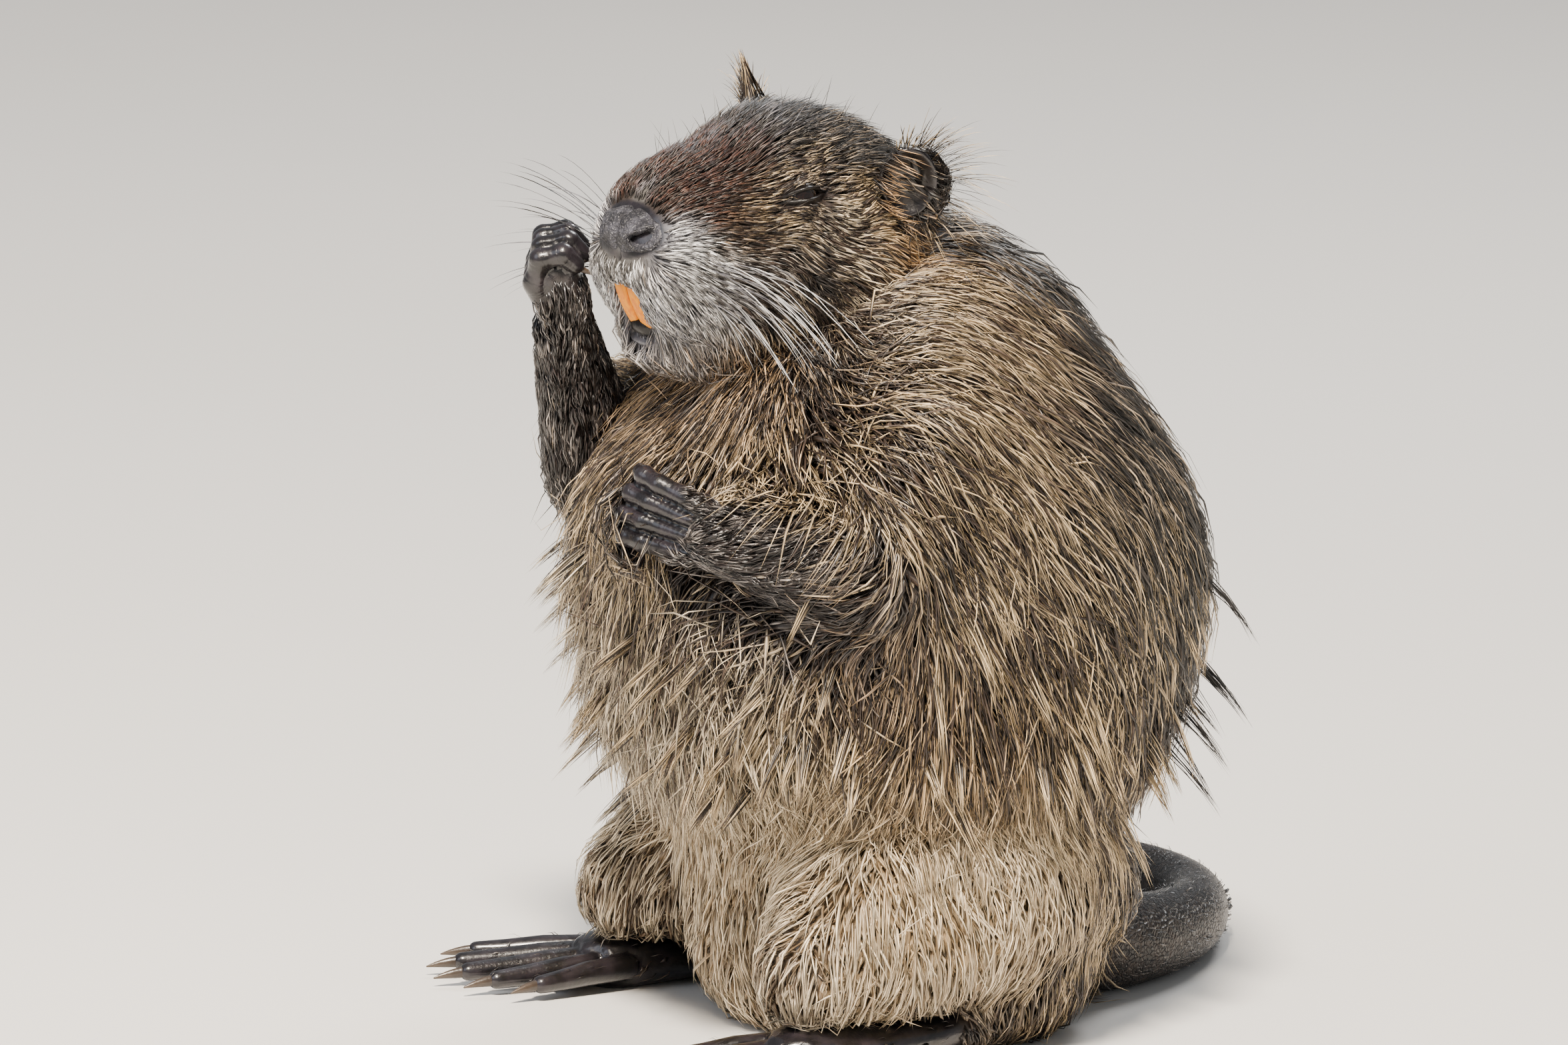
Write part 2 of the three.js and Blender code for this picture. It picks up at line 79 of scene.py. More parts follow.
right, upward, back = camera_axes(AZIMUTH, ELEVATION)
AIM = -0.0364 * right + 0.1581 * upward
camera_data = bpy.data.cameras.new("camera")
camera_data.sensor_width = SENSOR_MM
camera_data.lens = SENSOR_MM * DISTANCE / FRAME_WIDTH
camera_data.clip_end = 100
camera = bpy.data.objects.new("camera", camera_data)
bpy.context.scene.collection.objects.link(camera)
bpy.context.scene.camera = camera
across = right * np.cos(LEAN) + upward * np.sin(LEAN)
over = upward * np.cos(LEAN) - right * np.sin(LEAN)
camera.matrix_world = standing(across, over, back, AIM + DISTANCE * back)
print("lens:", round(camera_data.lens, 1), "mm")

# %% [markdown]
# ## Sizes
#
# These are the sizes of the solid parts, in millimetres, so that the new surfaces lie inside them
# or very near them: the front teeth are set a little higher than their solids, and the fingers
# are spread a little wider, the left ones straighter too. +Z is up, the animal faces -Y, and its
# left side is +X. The body is a stack of levels, the head a row of stations from the nose back,
# and the limbs and tail are lines with a radius at each point.

# %% Sizes of the body and head
# height, centre along Y, half depth along Y, half width along X, depth of coat
BODY_LEVELS = [
    [0, 6, 50, 54, 2],
    [10, 6, 61, 64, 4],
    [26, 6, 67, 70, 6],
    [48, 3, 68, 72, 6],
    [73, 1, 73, 79, 7],
    [98, -1, 89, 88, 8],
    [125, 1, 99, 92, 8],
    [149, -1, 104, 94, 8],
    [175, -5, 102, 91, 8],
    [200, -5, 86, 81, 8],
    [223, -4, 68, 67, 8],
    [243, 0, 47, 51, 7],
    [257, 0, 24, 28, 6],
]
BODY_POWER = 2.15
HEAD_YAW, HEAD_TILT = np.radians([10.5, 2.0])
NOSE_AT = np.array([10, -113, 262])
# distance back, top, bottom, half width, power, depth of coat
HEAD_STATIONS = [
    [4, 10, -17, 16, 2.3, 1.2],
    [9, 18.5, -25, 22, 2.4, 1.6],
    [16, 24, -31, 25, 2.4, 2],
    [30, 30, -38, 27.5, 2.3, 2.6],
    [44, 36, -45, 31, 2.2, 3],
    [58, 40.5, -50, 35, 2.2, 3.6],
    [75, 41.5, -53, 39, 2.1, 4.6],
    [90, 37, -53, 40, 2.1, 5.6],
    [104, 24, -49, 37, 2, 6],
    [118, 7, -41, 31, 2, 6],
]
JAW_STATIONS = [
    [10, -22, -32, 8, 2.2, 1],
    [15, -22, -37, 12, 2.2, 1.6],
    [24, -24, -40, 16, 2.2, 2],
    [38, -28, -43, 19, 2.1, 3],
    [54, -32, -47, 20, 2, 4],
]
NOSE = {"half": [14, 10, 9], "back": 7.6, "up": 3.2}
EYE = {"aside": 25.2, "back": 52, "up": 16.8, "radius": 5.2}
EAR = {"aside": 37.5, "back": 86, "up": 22, "half": [10.5, 13.5], "turn": -32, "tip": 14}
INCISOR = {"width": 5.6, "length": 21, "thick": 3.4, "back": 4.2, "up": -11.5, "lean": 25, "curve": 16}

# %% Sizes of the limbs and tail
ARM_RADII = {"shoulder": 26, "elbow": 18, "forearm": 16, "wrist": 9.6}
ARMS = {
    "left": ([60, -30, 198], [75, -52, 163], [53, -96, 175]),
    "right": ([-62, -38, 192], [-44, -88, 179], [-33, -109, 231]),
}
HAND = {"knuckles": 17, "fan": 3.5, "pitch": 5.75}
FINGER_LENGTHS = np.array([10, 8.2, 6.2])
FINGER_SCALE = [0.86, 1, 1.02, 0.88]
CURLS = {"left": [-8, 18, 26], "right": [38, 62, 58]}
THUMB = {"root": [7, 8.5, -2.5], "fan": 38, "lengths": [3.5, 3.5], "bends": [20, 25]}
HAND_CLAW = {"length": 7, "radius": 1.25, "droop": 0.3}
FOOT = {
    "heel": [54, 12, 9],
    "splay": 8,
    "sole": [[0, 0, 2], [26, 0, 0], [54, 0, -1], [74, 0, -2]],
    "sole_radii": [11, 12, 14.5, 17],
    "flat": 0.62,
    "toes": [34, 45, 50, 48, 40],
    "fan": [-15, -7, 0.5, 8, 17],
    "drop": 2.5,
    "pitch": 6.6,
}
FOOT_CLAW = {"length": 12, "radius": 1.9, "droop": 0.1}
# along X, along Y, height, radius
THIGH = [[38, 50, 50, 25], [42, 24, 55, 40], [46, -8, 52, 43], [54, -38, 42, 35], [60, -58, 33, 22]]
TAIL = [
    [0, 52, 34, 22],
    [-2, 82, 18, 18],
    [-12, 112, 14, 15.2],
    [-34, 142, 12.4, 13.2],
    [-68, 162, 11, 11.7],
    [-106, 166, 9.6, 10.2],
    [-142, 154, 8.2, 8.7],
    [-170, 130, 6.8, 7.2],
    [-186, 100, 5.6, 5.2],
]
SIDES = {"left": 1, "right": -1}

# %% [markdown]
# ## Lofts
#
# Nearly every part of an animal is a section carried along a line. The helpers here make such
# lofts as whole arrays: rows of numbers are blended smoothly, a ring of points is set round each
# row, and the rings are joined into a closed surface. A sculpted mesh would do as well, but lofts
# keep every size a number that can be read.

# %% Lofting helpers
def smooth(x, low, high):
    """0 below low, 1 above high, and an even S-curve between: 3t squared less 2t cubed."""
    t = np.clip((x - low) / (high - low), 0, 1)
    return t * t * (3 - 2 * t)


def unit(v):
    return v / np.maximum(np.linalg.norm(v, axis=-1, keepdims=True), 1e-12)


def dot(a, b):
    return (a * b).sum(-1, keepdims=True)


def blend_rows(rows, at):
    """Rows between the given ones: a Catmull-Rom blend of each column, at running from 0 to 1."""
    rows = np.asarray(rows, float)
    x = np.clip(at, 0, 1) * (len(rows) - 1)
    i = np.minimum(x.astype(int), len(rows) - 2)
    t = (x - i)[:, None]
    a, b, d, e = (rows[np.clip(i + k, 0, len(rows) - 1)] for k in (-1, 0, 1, 2))
    bend = (2 * a - 5 * b + 4 * d - e) * t**2 + (3 * b - a - 3 * d + e) * t**3
    return 0.5 * (2 * b + (d - a) * t + bend)


def rings_of(centres, side, up, wide, high, power=2.0, sides=24):
    """Superellipses round the centres: side times cos to the 2/power, and up times sin likewise."""
    turn = np.arange(sides) * 2 * np.pi / sides
    p = 2 / np.broadcast_to(power, len(centres))[:, None]
    x = np.sign(np.cos(turn)) * np.abs(np.cos(turn)) ** p * np.asarray(wide)[:, None]
    y = np.sign(np.sin(turn)) * np.abs(np.sin(turn)) ** p * np.asarray(high)[:, None]
    side, up = np.broadcast_to(side, centres.shape), np.broadcast_to(up, centres.shape)
    return centres[:, None] + x[..., None] * side[:, None] + y[..., None] * up[:, None]


def closed(rings):
    """Vertices and triangles of a skin over equal rings, with a fan from the middle of each end."""
    n, m = rings.shape[:2]
    points = np.concatenate([rings.reshape(-1, 3), rings[[0, -1]].mean(1)])
    i = np.arange(m)
    j = (i + 1) % m
    row = (np.arange(n - 1) * m)[:, None]
    walls = np.stack([row + i, row + j, row + m + j, row + i, row + m + j, row + m + i], -1)
    end = (n - 1) * m
    first = np.stack([np.full(m, n * m), j, i], -1)
    last = np.stack([np.full(m, n * m + 1), end + i, end + j], -1)
    faces = np.concatenate([walls.reshape(-1, 3), first, last])
    a, b, c = (points[faces[:, k]] for k in range(3))
    if dot(a - points[0], np.cross(b - points[0], c - points[0])).sum() < 0:
        faces = faces[:, ::-1]
    return points, faces


def joined(shapes):
    """One pair of vertices and triangles from several."""
    starts = np.cumsum([0] + [len(p) for p, _ in shapes])
    faces = [f + start for (_, f), start in zip(shapes, starts)]
    return np.concatenate([p for p, _ in shapes]), np.concatenate(faces)


def dome_rows(row, way, angles):
    """Rows of a round end: the radius times sine further on, with the radius times cosine."""
    on = row[:3] + np.outer(np.sin(angles), way) * row[3]
    return np.column_stack([on, row[3] * np.cos(angles)])


DOME_ANGLES = np.radians([80, 60, 40, 20])
STEEP = 0.85  # share of the way that runs upright, from which a tube takes its sides from Y


def tube(rows, steps=6, sides=20, flat=1.0):
    """A tube through rows of x, y, z, radius: rings across the blended line, closed by domes."""
    line = blend_rows(rows, np.linspace(0, 1, (len(rows) - 1) * steps + 1))
    along = unit(np.gradient(line[:, :3], axis=0))
    first = dome_rows(line[0], -along[0], DOME_ANGLES)
    last = dome_rows(line[-1], along[-1], DOME_ANGLES[::-1])
    line = np.concatenate([first, line, last])
    along = np.concatenate([np.repeat(along[:1], 4, 0), along, np.repeat(along[-1:], 4, 0)])
    steep = np.abs(along[:, 2]).mean() > STEEP
    side = unit(np.cross(along, [0, 1.0, 0] if steep else [0, 0, 1.0]))
    up = np.cross(side, along)
    return closed(rings_of(line[:, :3], side, up, line[:, 3], line[:, 3] * flat, sides=sides))


def new_piece(name, points, faces, materials=()):
    """A mesh object from points in millimetres and triangles or quads."""
    mesh = bpy.data.meshes.new(name)
    mesh.vertices.add(len(points))
    mesh.vertices.foreach_set("co", (points * MM).astype(np.float32).ravel())
    mesh.loops.add(faces.size)
    mesh.loops.foreach_set("vertex_index", faces.astype(np.int32).ravel())
    mesh.polygons.add(len(faces))
    mesh.polygons.foreach_set("loop_start", np.arange(0, faces.size, faces.shape[1], dtype=np.int32))
    mesh.update(calc_edges=True)
    mesh.validate()
    mesh.shade_smooth()
    for material in materials:
        mesh.materials.append(material)
    piece = bpy.data.objects.new(name, mesh)
    bpy.context.scene.collection.objects.link(piece)
    return piece


# %% [markdown]
# ## The trunk, head and ears
#
# Under a wet coat a coypu is pear-shaped, with a long low head. Each ring of the body and head is
# drawn in by the depth of the coat at its level, so that the tufts reach out to the solid's
# surface. The ear is a small round cup: its profile runs up the back, over a rolled rim and down
# into the hollow.

# %% Body, head and ear shapes
HEAD_BACK = np.array([-np.sin(HEAD_YAW), np.cos(HEAD_YAW), 0])
HEAD_LEVEL = np.array([np.cos(HEAD_YAW), np.sin(HEAD_YAW), 0])
HEAD_UP = np.array([0, 0, np.cos(HEAD_TILT)]) + HEAD_LEVEL * np.sin(HEAD_TILT)
HEAD_LEFT = HEAD_LEVEL * np.cos(HEAD_TILT) - np.array([0, 0, np.sin(HEAD_TILT)])
HEAD_AXES = np.stack([HEAD_LEFT, HEAD_BACK, HEAD_UP])


def on_head(place):
    """A place in the head's own axes, given as aside, back and up from the nose, in the frame."""
    return NOSE_AT + np.asarray(place, float) @ HEAD_AXES


def in_head(points):
    """Points of the frame as aside, back and up from the nose."""
    return np.linalg.solve(HEAD_AXES.T, (points - NOSE_AT).T).T


def body_shape():
    """Superellipse rings stacked up the trunk, the lowest lifted off the floor by its coat."""
    z, y, deep, wide, coat = blend_rows(BODY_LEVELS, np.linspace(0, 1, 97)).T
    z = z + 2.5 * (z < 1)
    centres = np.stack([0 * z, y, z], 1)
    rings = rings_of(centres, [1.0, 0, 0], [0, 1.0, 0], wide - coat, deep - coat, BODY_POWER, 96)
    return closed(rings)


def station_shape(stations, sides, steps):
    """Superellipse rings from the nose back, with shrinking rings to close each end."""
    line = blend_rows(stations, np.linspace(0, 1, (len(stations) - 1) * steps + 1))
    front, rear = line[0], line[-1]
    shares = [(front, -4.4, 0.3), (front, -3.6, 0.55), (front, -2.2, 0.8)]
    shares += [(row, 0, 1) for row in line] + [(rear, 8, 0.7), (rear, 12, 0.3)]
    rows = np.array([row for row, _, _ in shares])
    shift = np.array([s for _, s, _ in shares])
    share = np.array([k for _, _, k in shares])
    distance, top, bottom, wide, power, coat = rows.T
    centres = on_head(np.stack([0 * top, distance + shift, (top + bottom) / 2], 1))
    high = ((top - bottom) / 2 - coat) * share
    return closed(rings_of(centres, HEAD_LEFT, HEAD_UP, (wide - coat) * share, high, power, sides))


def turned(turn, tip):
    """The head's axes turned about its up axis and then tipped about its own back axis."""
    t, p = np.radians([turn, tip])
    about_up = np.array([[np.cos(t), np.sin(t), 0], [-np.sin(t), np.cos(t), 0], [0, 0, 1]])
    about_back = np.array([[np.cos(p), 0, -np.sin(p)], [0, 1, 0], [np.sin(p), 0, np.cos(p)]])
    return about_back @ about_up @ HEAD_AXES


def ear_frame(side):
    """The middle of an ear, and its axes: out of the bowl, back across it and up."""
    centre = on_head([side * EAR["aside"], EAR["back"], EAR["up"]])
    return centre, turned(side * EAR["turn"], side * EAR["tip"])


# share of the ear's half size, distance out: up the back, over the rim, down into the hollow
EAR_PROFILE = [[0.05, -4.5], [0.5, -4.2], [0.82, -2.6], [0.98, 0.2], [1.02, 2.2], [0.96, 3.2]]
EAR_PROFILE += [[0.86, 2.4], [0.78, 0.6], [0.66, -1.0], [0.4, -2.0], [0.1, -2.2]]


def ear_shape(side):
    """A cup: the profile carried round an oval, with a fold low in front where the rim ends."""
    centre, axes = ear_frame(side)
    share, out = blend_rows(EAR_PROFILE, np.linspace(0, 1, 41)).T
    turn = np.arange(64) * 2 * np.pi / 64
    fold = np.exp(-(((turn - 3.9) / 0.5) ** 2))
    ridge = np.exp(-(((share[:, None] - 0.6) / 0.12) ** 2))
    ridge = ridge * (np.cos(turn - 0.9) > 0) * np.cos(turn - 0.9)
    inner = (np.arange(41) > 24)[:, None]
    wide = share[:, None] * (1 - 0.16 * fold)
    x = side * (out[:, None] + 1.3 * ridge * inner)
    y = wide * np.cos(turn) * EAR["half"][0]
    z = wide * np.sin(turn) * EAR["half"][1]
    local = np.stack([x + 0 * y, y, z], -1)
    return closed(centre + local @ axes)


flesh = [body_shape(), station_shape(HEAD_STATIONS, 72, 8), station_shape(JAW_STATIONS, 40, 8)]
flesh += [ear_shape(side) for side in SIDES.values()]
print("trunk, head, jaw and ears:", sum(len(f) for _, f in flesh), "triangles")

# %% [markdown]
# ## Arms, hands, haunches, feet and tail
#
# A coypu's hand is like a small glove: four long fingers that swell at each joint, a stub of a
# thumb and a soft pad at the wrist. Its hind foot is long, with four toes in one web and the fifth
# free. Each is built in a frame of its own, along the limb, towards the thumb side, and out of the
# back of the hand, so that one function makes both sides.

# %% Limb shapes
class LimbFrame:
    """Axes at a wrist or heel: along to the digits, dorsal out of the back, radial to the thumb."""

    def __init__(self, at, along, dorsal, mirror):
        self.at = np.asarray(at, float)
        self.along = unit(np.asarray(along, float))
        dorsal = np.asarray(dorsal, float)
        self.dorsal = unit(dorsal - self.along * np.dot(dorsal, self.along))
        self.radial = np.cross(self.along, self.dorsal) * mirror
        self.axes = np.stack([self.along, self.radial, self.dorsal])

    def point(self, place):
        return self.at + np.asarray(place, float) @ self.axes

    def local(self, points):
        return (points - self.at) @ self.axes.T


HAND_FRAMES = {
    "left": LimbFrame(ARMS["left"][2], [-0.86, -0.4, 0.16], [0.42, -0.88, 0.16], 1),
    "right": LimbFrame(ARMS["right"][2], [-0.05, -0.5, 0.86], [-0.55, -0.75, -0.35], -1),
}


def foot_frame(side):
    turn = np.radians(FOOT["splay"])
    heel = [side * FOOT["heel"][0], FOOT["heel"][1], FOOT["heel"][2]]
    return LimbFrame(heel, [side * np.sin(turn), -np.cos(turn), 0], [0, 0, 1], side)


FOOT_FRAMES = {name: foot_frame(side) for name, side in SIDES.items()}


def digit_line(limb, root, fan, lengths, bends):
    """Joint places of a digit: each joint turns further towards the palm by its bend."""
    out = limb.along * np.cos(np.radians(fan)) + limb.radial * np.sin(np.radians(fan))
    angles = np.radians(np.cumsum(bends))[:, None]
    steps = (out * np.cos(angles) - limb.dorsal * np.sin(angles)) * np.asarray(lengths)[:, None]
    return np.concatenate([[root], root + np.cumsum(steps, axis=0)])


def finger_lines(name):
    lines = []
    for i, scale in enumerate(FINGER_SCALE):
        place = 1.5 - i
        root = HAND_FRAMES[name].point([HAND["knuckles"], place * HAND["pitch"], 0.8])
        lengths = FINGER_LENGTHS * scale
        lines.append(digit_line(HAND_FRAMES[name], root, place * HAND["fan"], lengths, CURLS[name]))
    return lines


def toe_lines(name):
    limb = FOOT_FRAMES[name]
    ball, _, drop = FOOT["sole"][-1]
    roots = [limb.point([ball, (2 - i) * FOOT["pitch"], drop]) for i in range(5)]
    parts = zip(roots, FOOT["fan"], FOOT["toes"])
    return [digit_line(limb, r, -fan, [length], [FOOT["drop"]]) for r, fan, length in parts]


# along the hand, lift, half width, half thickness: the palm thins to a web between the fingers
PALM = [[-6, 0, 8.8, 7.6], [3, 0, 9.4, 6.4], [10, 0, 10.6, 4.8], [15, 0.2, 10.6, 3], [19, 0.4, 9.8, 2]]
# places along, towards the thumb and out of the back, each with a radius
CARPAL_PAD = {
    "left": [([3, -5.5, -4.5], 4.2), ([8, -6, -5], 3.8)],
    "right": [([-1, -6, -5], 4.6), ([5, -6.3, -7.4], 4.7), ([11, -6.5, -9], 4.0)],
}
FIST = [([13, -4.5, -4.5], 9.2), ([14, 4.5, -4.5], 8.8)]
FINGER = {"joint": 3.25, "shaft": 2.8, "tip": 2.5, "root": 2.9}
FINGER_BULK = {"left": 1.14, "right": 1.2}


def finger_rows(name, number):
    """Rows of a finger whose radius swells at every joint, from its root inside the palm on."""
    line = finger_lines(name)[number]
    start = HAND_FRAMES[name].point([8, (1.5 - number) * HAND["pitch"] * 0.86, 1.2])
    rows = [np.r_[start, FINGER["root"]], np.r_[line[0], FINGER["joint"] + 0.1]]
    for k in range(1, len(line)):
        rows.append(np.r_[(line[k - 1] + line[k]) / 2, FINGER["shaft"]])
        rows.append(np.r_[line[k], FINGER["joint"] if k < len(line) - 1 else FINGER["tip"]])
    return np.array(rows) * [1, 1, 1, FINGER_BULK[name]]


def toe_rows(line):
    """Rows of a toe, a little humped over its middle joint."""
    knots = [line[0], line[0] * 0.55 + line[-1] * 0.45, line[0] * 0.25 + line[-1] * 0.75, line[-1]]
    raised = np.array(knots) + np.array([[0, 0, 0.6], [0, 0, 0.8], [0, 0, 0.2], [0, 0, 0]])
    return np.column_stack([raised, [4.3, 4.1, 3.5, 3.0]])


def hand_shapes(name):
    limb = HAND_FRAMES[name]
    on, lift, wide, high = blend_rows(PALM, np.linspace(0, 1, 41)).T
    centres = limb.at + np.stack([on, 0 * on, lift], 1) @ limb.axes
    shapes = [closed(rings_of(centres, limb.radial, limb.dorsal, wide, high, 2.3, 40))]
    shapes.append(tube(np.array([np.r_[limb.point(p), r] for p, r in CARPAL_PAD[name]])))
    if name == "right":
        shapes.append(tube(np.array([np.r_[limb.point(p), r] for p, r in FIST])))
    root = limb.point(THUMB["root"])
    thumb = digit_line(limb, root, THUMB["fan"], THUMB["lengths"], THUMB["bends"])
    shapes.append(tube(np.column_stack([thumb, [2.5, 2.3, 1.9]])))
    shapes += [tube(finger_rows(name, number), steps=4, sides=18) for number in range(4)]
    return shapes


def web_shape(name):
    """A thin sheet across the first four toes, its free edge dipping back between two of them."""
    lines = toe_lines(name)[:4]
    limb = FOOT_FRAMES[name]
    across = np.linspace(0, 3, 61)
    roots = blend_rows([line[0] for line in lines], across / 3)
    ends = blend_rows([line[0] * 0.26 + line[-1] * 0.74 for line in lines], across / 3)
    ends = ends - limb.along * 8 * np.sin(np.pi * across)[:, None] ** 2
    share = np.linspace(0, 1, 21)[:, None, None]
    sheet = roots + (ends - roots) * share
    sheet[..., 2] = 3.6 - 0.5 * np.sin(np.pi * across) ** 2
    lift = np.array([0, 0, 1.0])
    loops = np.concatenate([sheet + lift, (sheet - lift)[:, ::-1]], axis=1)
    return closed(loops)


def foot_shapes(name):
    limb = FOOT_FRAMES[name]
    rows = np.column_stack([[limb.point(p) for p in FOOT["sole"]], np.array(FOOT["sole_radii"]) - 0.8])
    shapes = [tube(rows, flat=FOOT["flat"], sides=40), web_shape(name)]
    return shapes + [tube(toe_rows(line), steps=5) for line in toe_lines(name)]


def arm_shapes(name):
    shoulder, elbow, wrist = ARMS[name]
    upper = np.column_stack([[shoulder, elbow], [ARM_RADII["shoulder"] - 6, ARM_RADII["elbow"] - 3]])
    lower_radii = [ARM_RADII["forearm"] - 2.5, (ARM_RADII["forearm"] + ARM_RADII["wrist"]) / 2 - 1.2]
    middle = np.mean([elbow, wrist], axis=0)
    lower = np.column_stack([[elbow, middle, wrist], lower_radii + [ARM_RADII["wrist"] - 0.9]])
    return [tube(upper, steps=12, sides=32), tube(lower, steps=8, sides=32)]


def mirrored(rows, side):
    rows = np.array(rows, float)
    rows[:, 0] *= side
    return rows


for name, side in SIDES.items():
    haunch = mirrored(THIGH, side) - np.array([0, 0, 0, 6.0])
    flesh += arm_shapes(name) + hand_shapes(name) + foot_shapes(name)
    flesh.append(tube(haunch, steps=8, sides=48))
flesh.append(tube(np.array(TAIL) - np.array([0, 0, 0, 0.6]), steps=12, sides=32))
print("flesh shapes:", len(flesh))

# %% [markdown]
# ## One skin
#
# The shapes overlap, and a real animal shows no joins. Booleans would leave hard creases, so the
# shapes are melted together on a fine grid of voxels instead, and the result is relaxed: strongly
# on the trunk, where the joins of arm, haunch and neck have to flow, and hardly at all on the
# face, hands and feet, where the form is small.

# %% Melt the shapes together
VOXEL_MM = 0.95
RELAX_ROUNDS = 40
GROOVE_MM = 1.15


def finished_mesh(piece):
    """The piece's mesh with its modifiers applied, which are then removed."""
    graph = bpy.context.evaluated_depsgraph_get()
    mesh = bpy.data.meshes.new_from_object(piece.evaluated_get(graph))
    piece.modifiers.clear()
    old, piece.data = piece.data, mesh
    bpy.data.meshes.remove(old)
    return piece


def values_of(items, key, width=1, kind=np.float32):
    """A value of every vertex, edge, corner or triangle, as rows of the given width."""
    values = np.empty(len(items) * width, kind)
    items.foreach_get(key, values)
    return values.reshape(-1, width)


def points_of(mesh):
    return values_of(mesh.vertices, "co", 3).astype(float) / MM


def normals_of(mesh):
    return values_of(mesh.vertex_normals, "vector", 3).astype(float)


def set_points(mesh, points):
    mesh.vertices.foreach_set("co", (points * MM).astype(np.float32).ravel())
    mesh.update()


skin = new_piece("skin", *joined(flesh))
melt = skin.modifiers.new("melt", "REMESH")
melt.mode = "VOXEL"
melt.voxel_size = VOXEL_MM * MM
finished_mesh(skin)
print("melted skin:", len(skin.data.vertices), "vertices")


# %% Which part of the animal a point belongs to
def outside_line(points, rows):
    """Distance of each point outside the tube through rows of x, y, z, radius; negative inside."""
    rows = np.asarray(rows, float)
    best = np.full(len(points), 1e3)
    for a, b in zip(rows[:-1], rows[1:]):
        way = b[:3] - a[:3]
        t = np.clip((points - a[:3]) @ way / (way @ way), 0, 1)
        away = np.linalg.norm(points - a[:3] - t[:, None] * way, axis=1)
        best = np.minimum(best, away - (a[3] + (b[3] - a[3]) * t))
    return best


def hand_distance(points, name):
    """Distance outside a hand's palm and fingers."""
    limb = HAND_FRAMES[name]
    palm = np.array([np.r_[limb.point([13, 0, 0]), 9.5], np.r_[limb.point([18, 0, 0.5]), 12.0]])
    lines = [np.column_stack([line, np.full(4, 3.6)]) for line in finger_lines(name)]
    return np.min([outside_line(points, rows) for rows in [palm, *lines]], axis=0)


def foot_distance(points, name):
    limb = FOOT_FRAMES[name]
    sole = np.column_stack([[limb.point(p) for p in FOOT["sole"][1:]], [10, 12, 14]])
    lines = [np.column_stack([line, np.full(2, 5.0)]) for line in toe_lines(name)]
    return np.min([outside_line(points, rows) for rows in [sole, *lines]], axis=0)


def off_head(points):
    """1 on the raised arm and hand and 0 on the muzzle beside them: the nearer of the two wins,
    by the distance outside the head's rings and outside the arm."""
    aside, behind, up = in_head(points).T
    rows = np.array(HEAD_STATIONS)
    top, bottom, wide = (np.interp(behind, rows[:, 0], rows[:, k]) for k in (1, 2, 3))
    share = np.hypot(aside / wide, (up - (top + bottom) / 2) / ((top - bottom) / 2))
    elbow, wrist = (np.array(p, float) for p in ARMS["right"][1:])
    arm = outside_line(points, [np.r_[elbow, 15], np.r_[wrist, 10]])
    arm = np.minimum(arm, hand_distance(points, "right"))
    return smooth((share - 1) * wide - arm, -1.5, 1.5) * (1 - smooth(arm, 12, 16))


def part_masks(points):
    """How far each point belongs to the hands, feet, tail and head: 1 on the part, fading off it."""
    hands = np.max([1 - smooth(hand_distance(points, n), 0.5, 3) for n in SIDES], axis=0)
    apart = off_head(points)
    hands = hands * np.where(points[:, 0] < 20, apart, 1)
    feet = np.max([1 - smooth(foot_distance(points, n), 0.5, 4) for n in SIDES], axis=0)
    tail = (1 - smooth(outside_line(points, TAIL), 0.5, 3)) * smooth(points[:, 1], 66, 84)
    aside, behind, up = in_head(points).T
    head = (1 - smooth(behind, 88, 108)) * (1 - smooth(np.hypot(aside, up + 5), 50, 58))
    head *= 1 - apart
    return {"hands": hands, "feet": feet, "tail": tail, "head": head}


def relax(points, edges, strength, rounds):
    """Each round moves a point towards the mean of its neighbours, by its own strength."""
    counts = np.bincount(edges.ravel(), minlength=len(points))[:, None]
    for _ in range(rounds):
        total = np.stack(
            [
                np.bincount(edges[:, 0], points[edges[:, 1], k], len(points))
                + np.bincount(edges[:, 1], points[edges[:, 0], k], len(points))
                for k in range(3)
            ],
            axis=1,
        )
        points = points + (total / counts - points) * strength[:, None]
    return points


points = points_of(skin.data)
masks = part_masks(points)
small_form = np.clip(masks["hands"] + masks["feet"] + masks["tail"], 0, 1)
face_hold = masks["head"] * (1 - 0.75 * smooth(in_head(points)[:, 1], 70, 100))
strength = 0.9 * (1 - small_form) * (1 - face_hold)
edges = values_of(skin.data.edges, "vertices", 2, np.int32)
points = relax(points, edges, strength, RELAX_ROUNDS)
points = relax(points, edges, np.full(len(points), 0.5), 2)
print("relaxed")


# %% Sharpen the fingers and toes
def nearest_digit(points):
    """For each point: how far it lies outside the nearest finger or toe, and outside the second
    nearest, the place on the nearest that it belongs to, and the distance along it."""
    gap, second = np.full((2, len(points)), 1e3)
    place, along = points.copy(), np.zeros(len(points))
    digits = [finger_rows(name, number) for name in SIDES for number in range(4)]
    digits += [toe_rows(line) for name in SIDES for line in toe_lines(name)]
    for rows in digits:
        start = 0.0
        before, own = gap, np.full(len(points), 1e3)
        for a, b in zip(rows[:-1], rows[1:]):
            way = b[:3] - a[:3]
            t = np.clip((points - a[:3]) @ way / (way @ way), 0, 1)
            axis = a[:3] + t[:, None] * way
            radius = a[3] + (b[3] - a[3]) * t
            away = np.linalg.norm(points - axis, axis=1)
            own = np.minimum(own, away - radius)
            nearer = away - radius < gap
            gap = np.where(nearer, away - radius, gap)
            place = np.where(nearer[:, None], axis + unit(points - axis) * radius[:, None], place)
            along = np.where(nearer, start + t * np.linalg.norm(way), along)
            start += np.linalg.norm(way)
        second = np.minimum(second, np.maximum(own, before))
    return gap, second, place, along


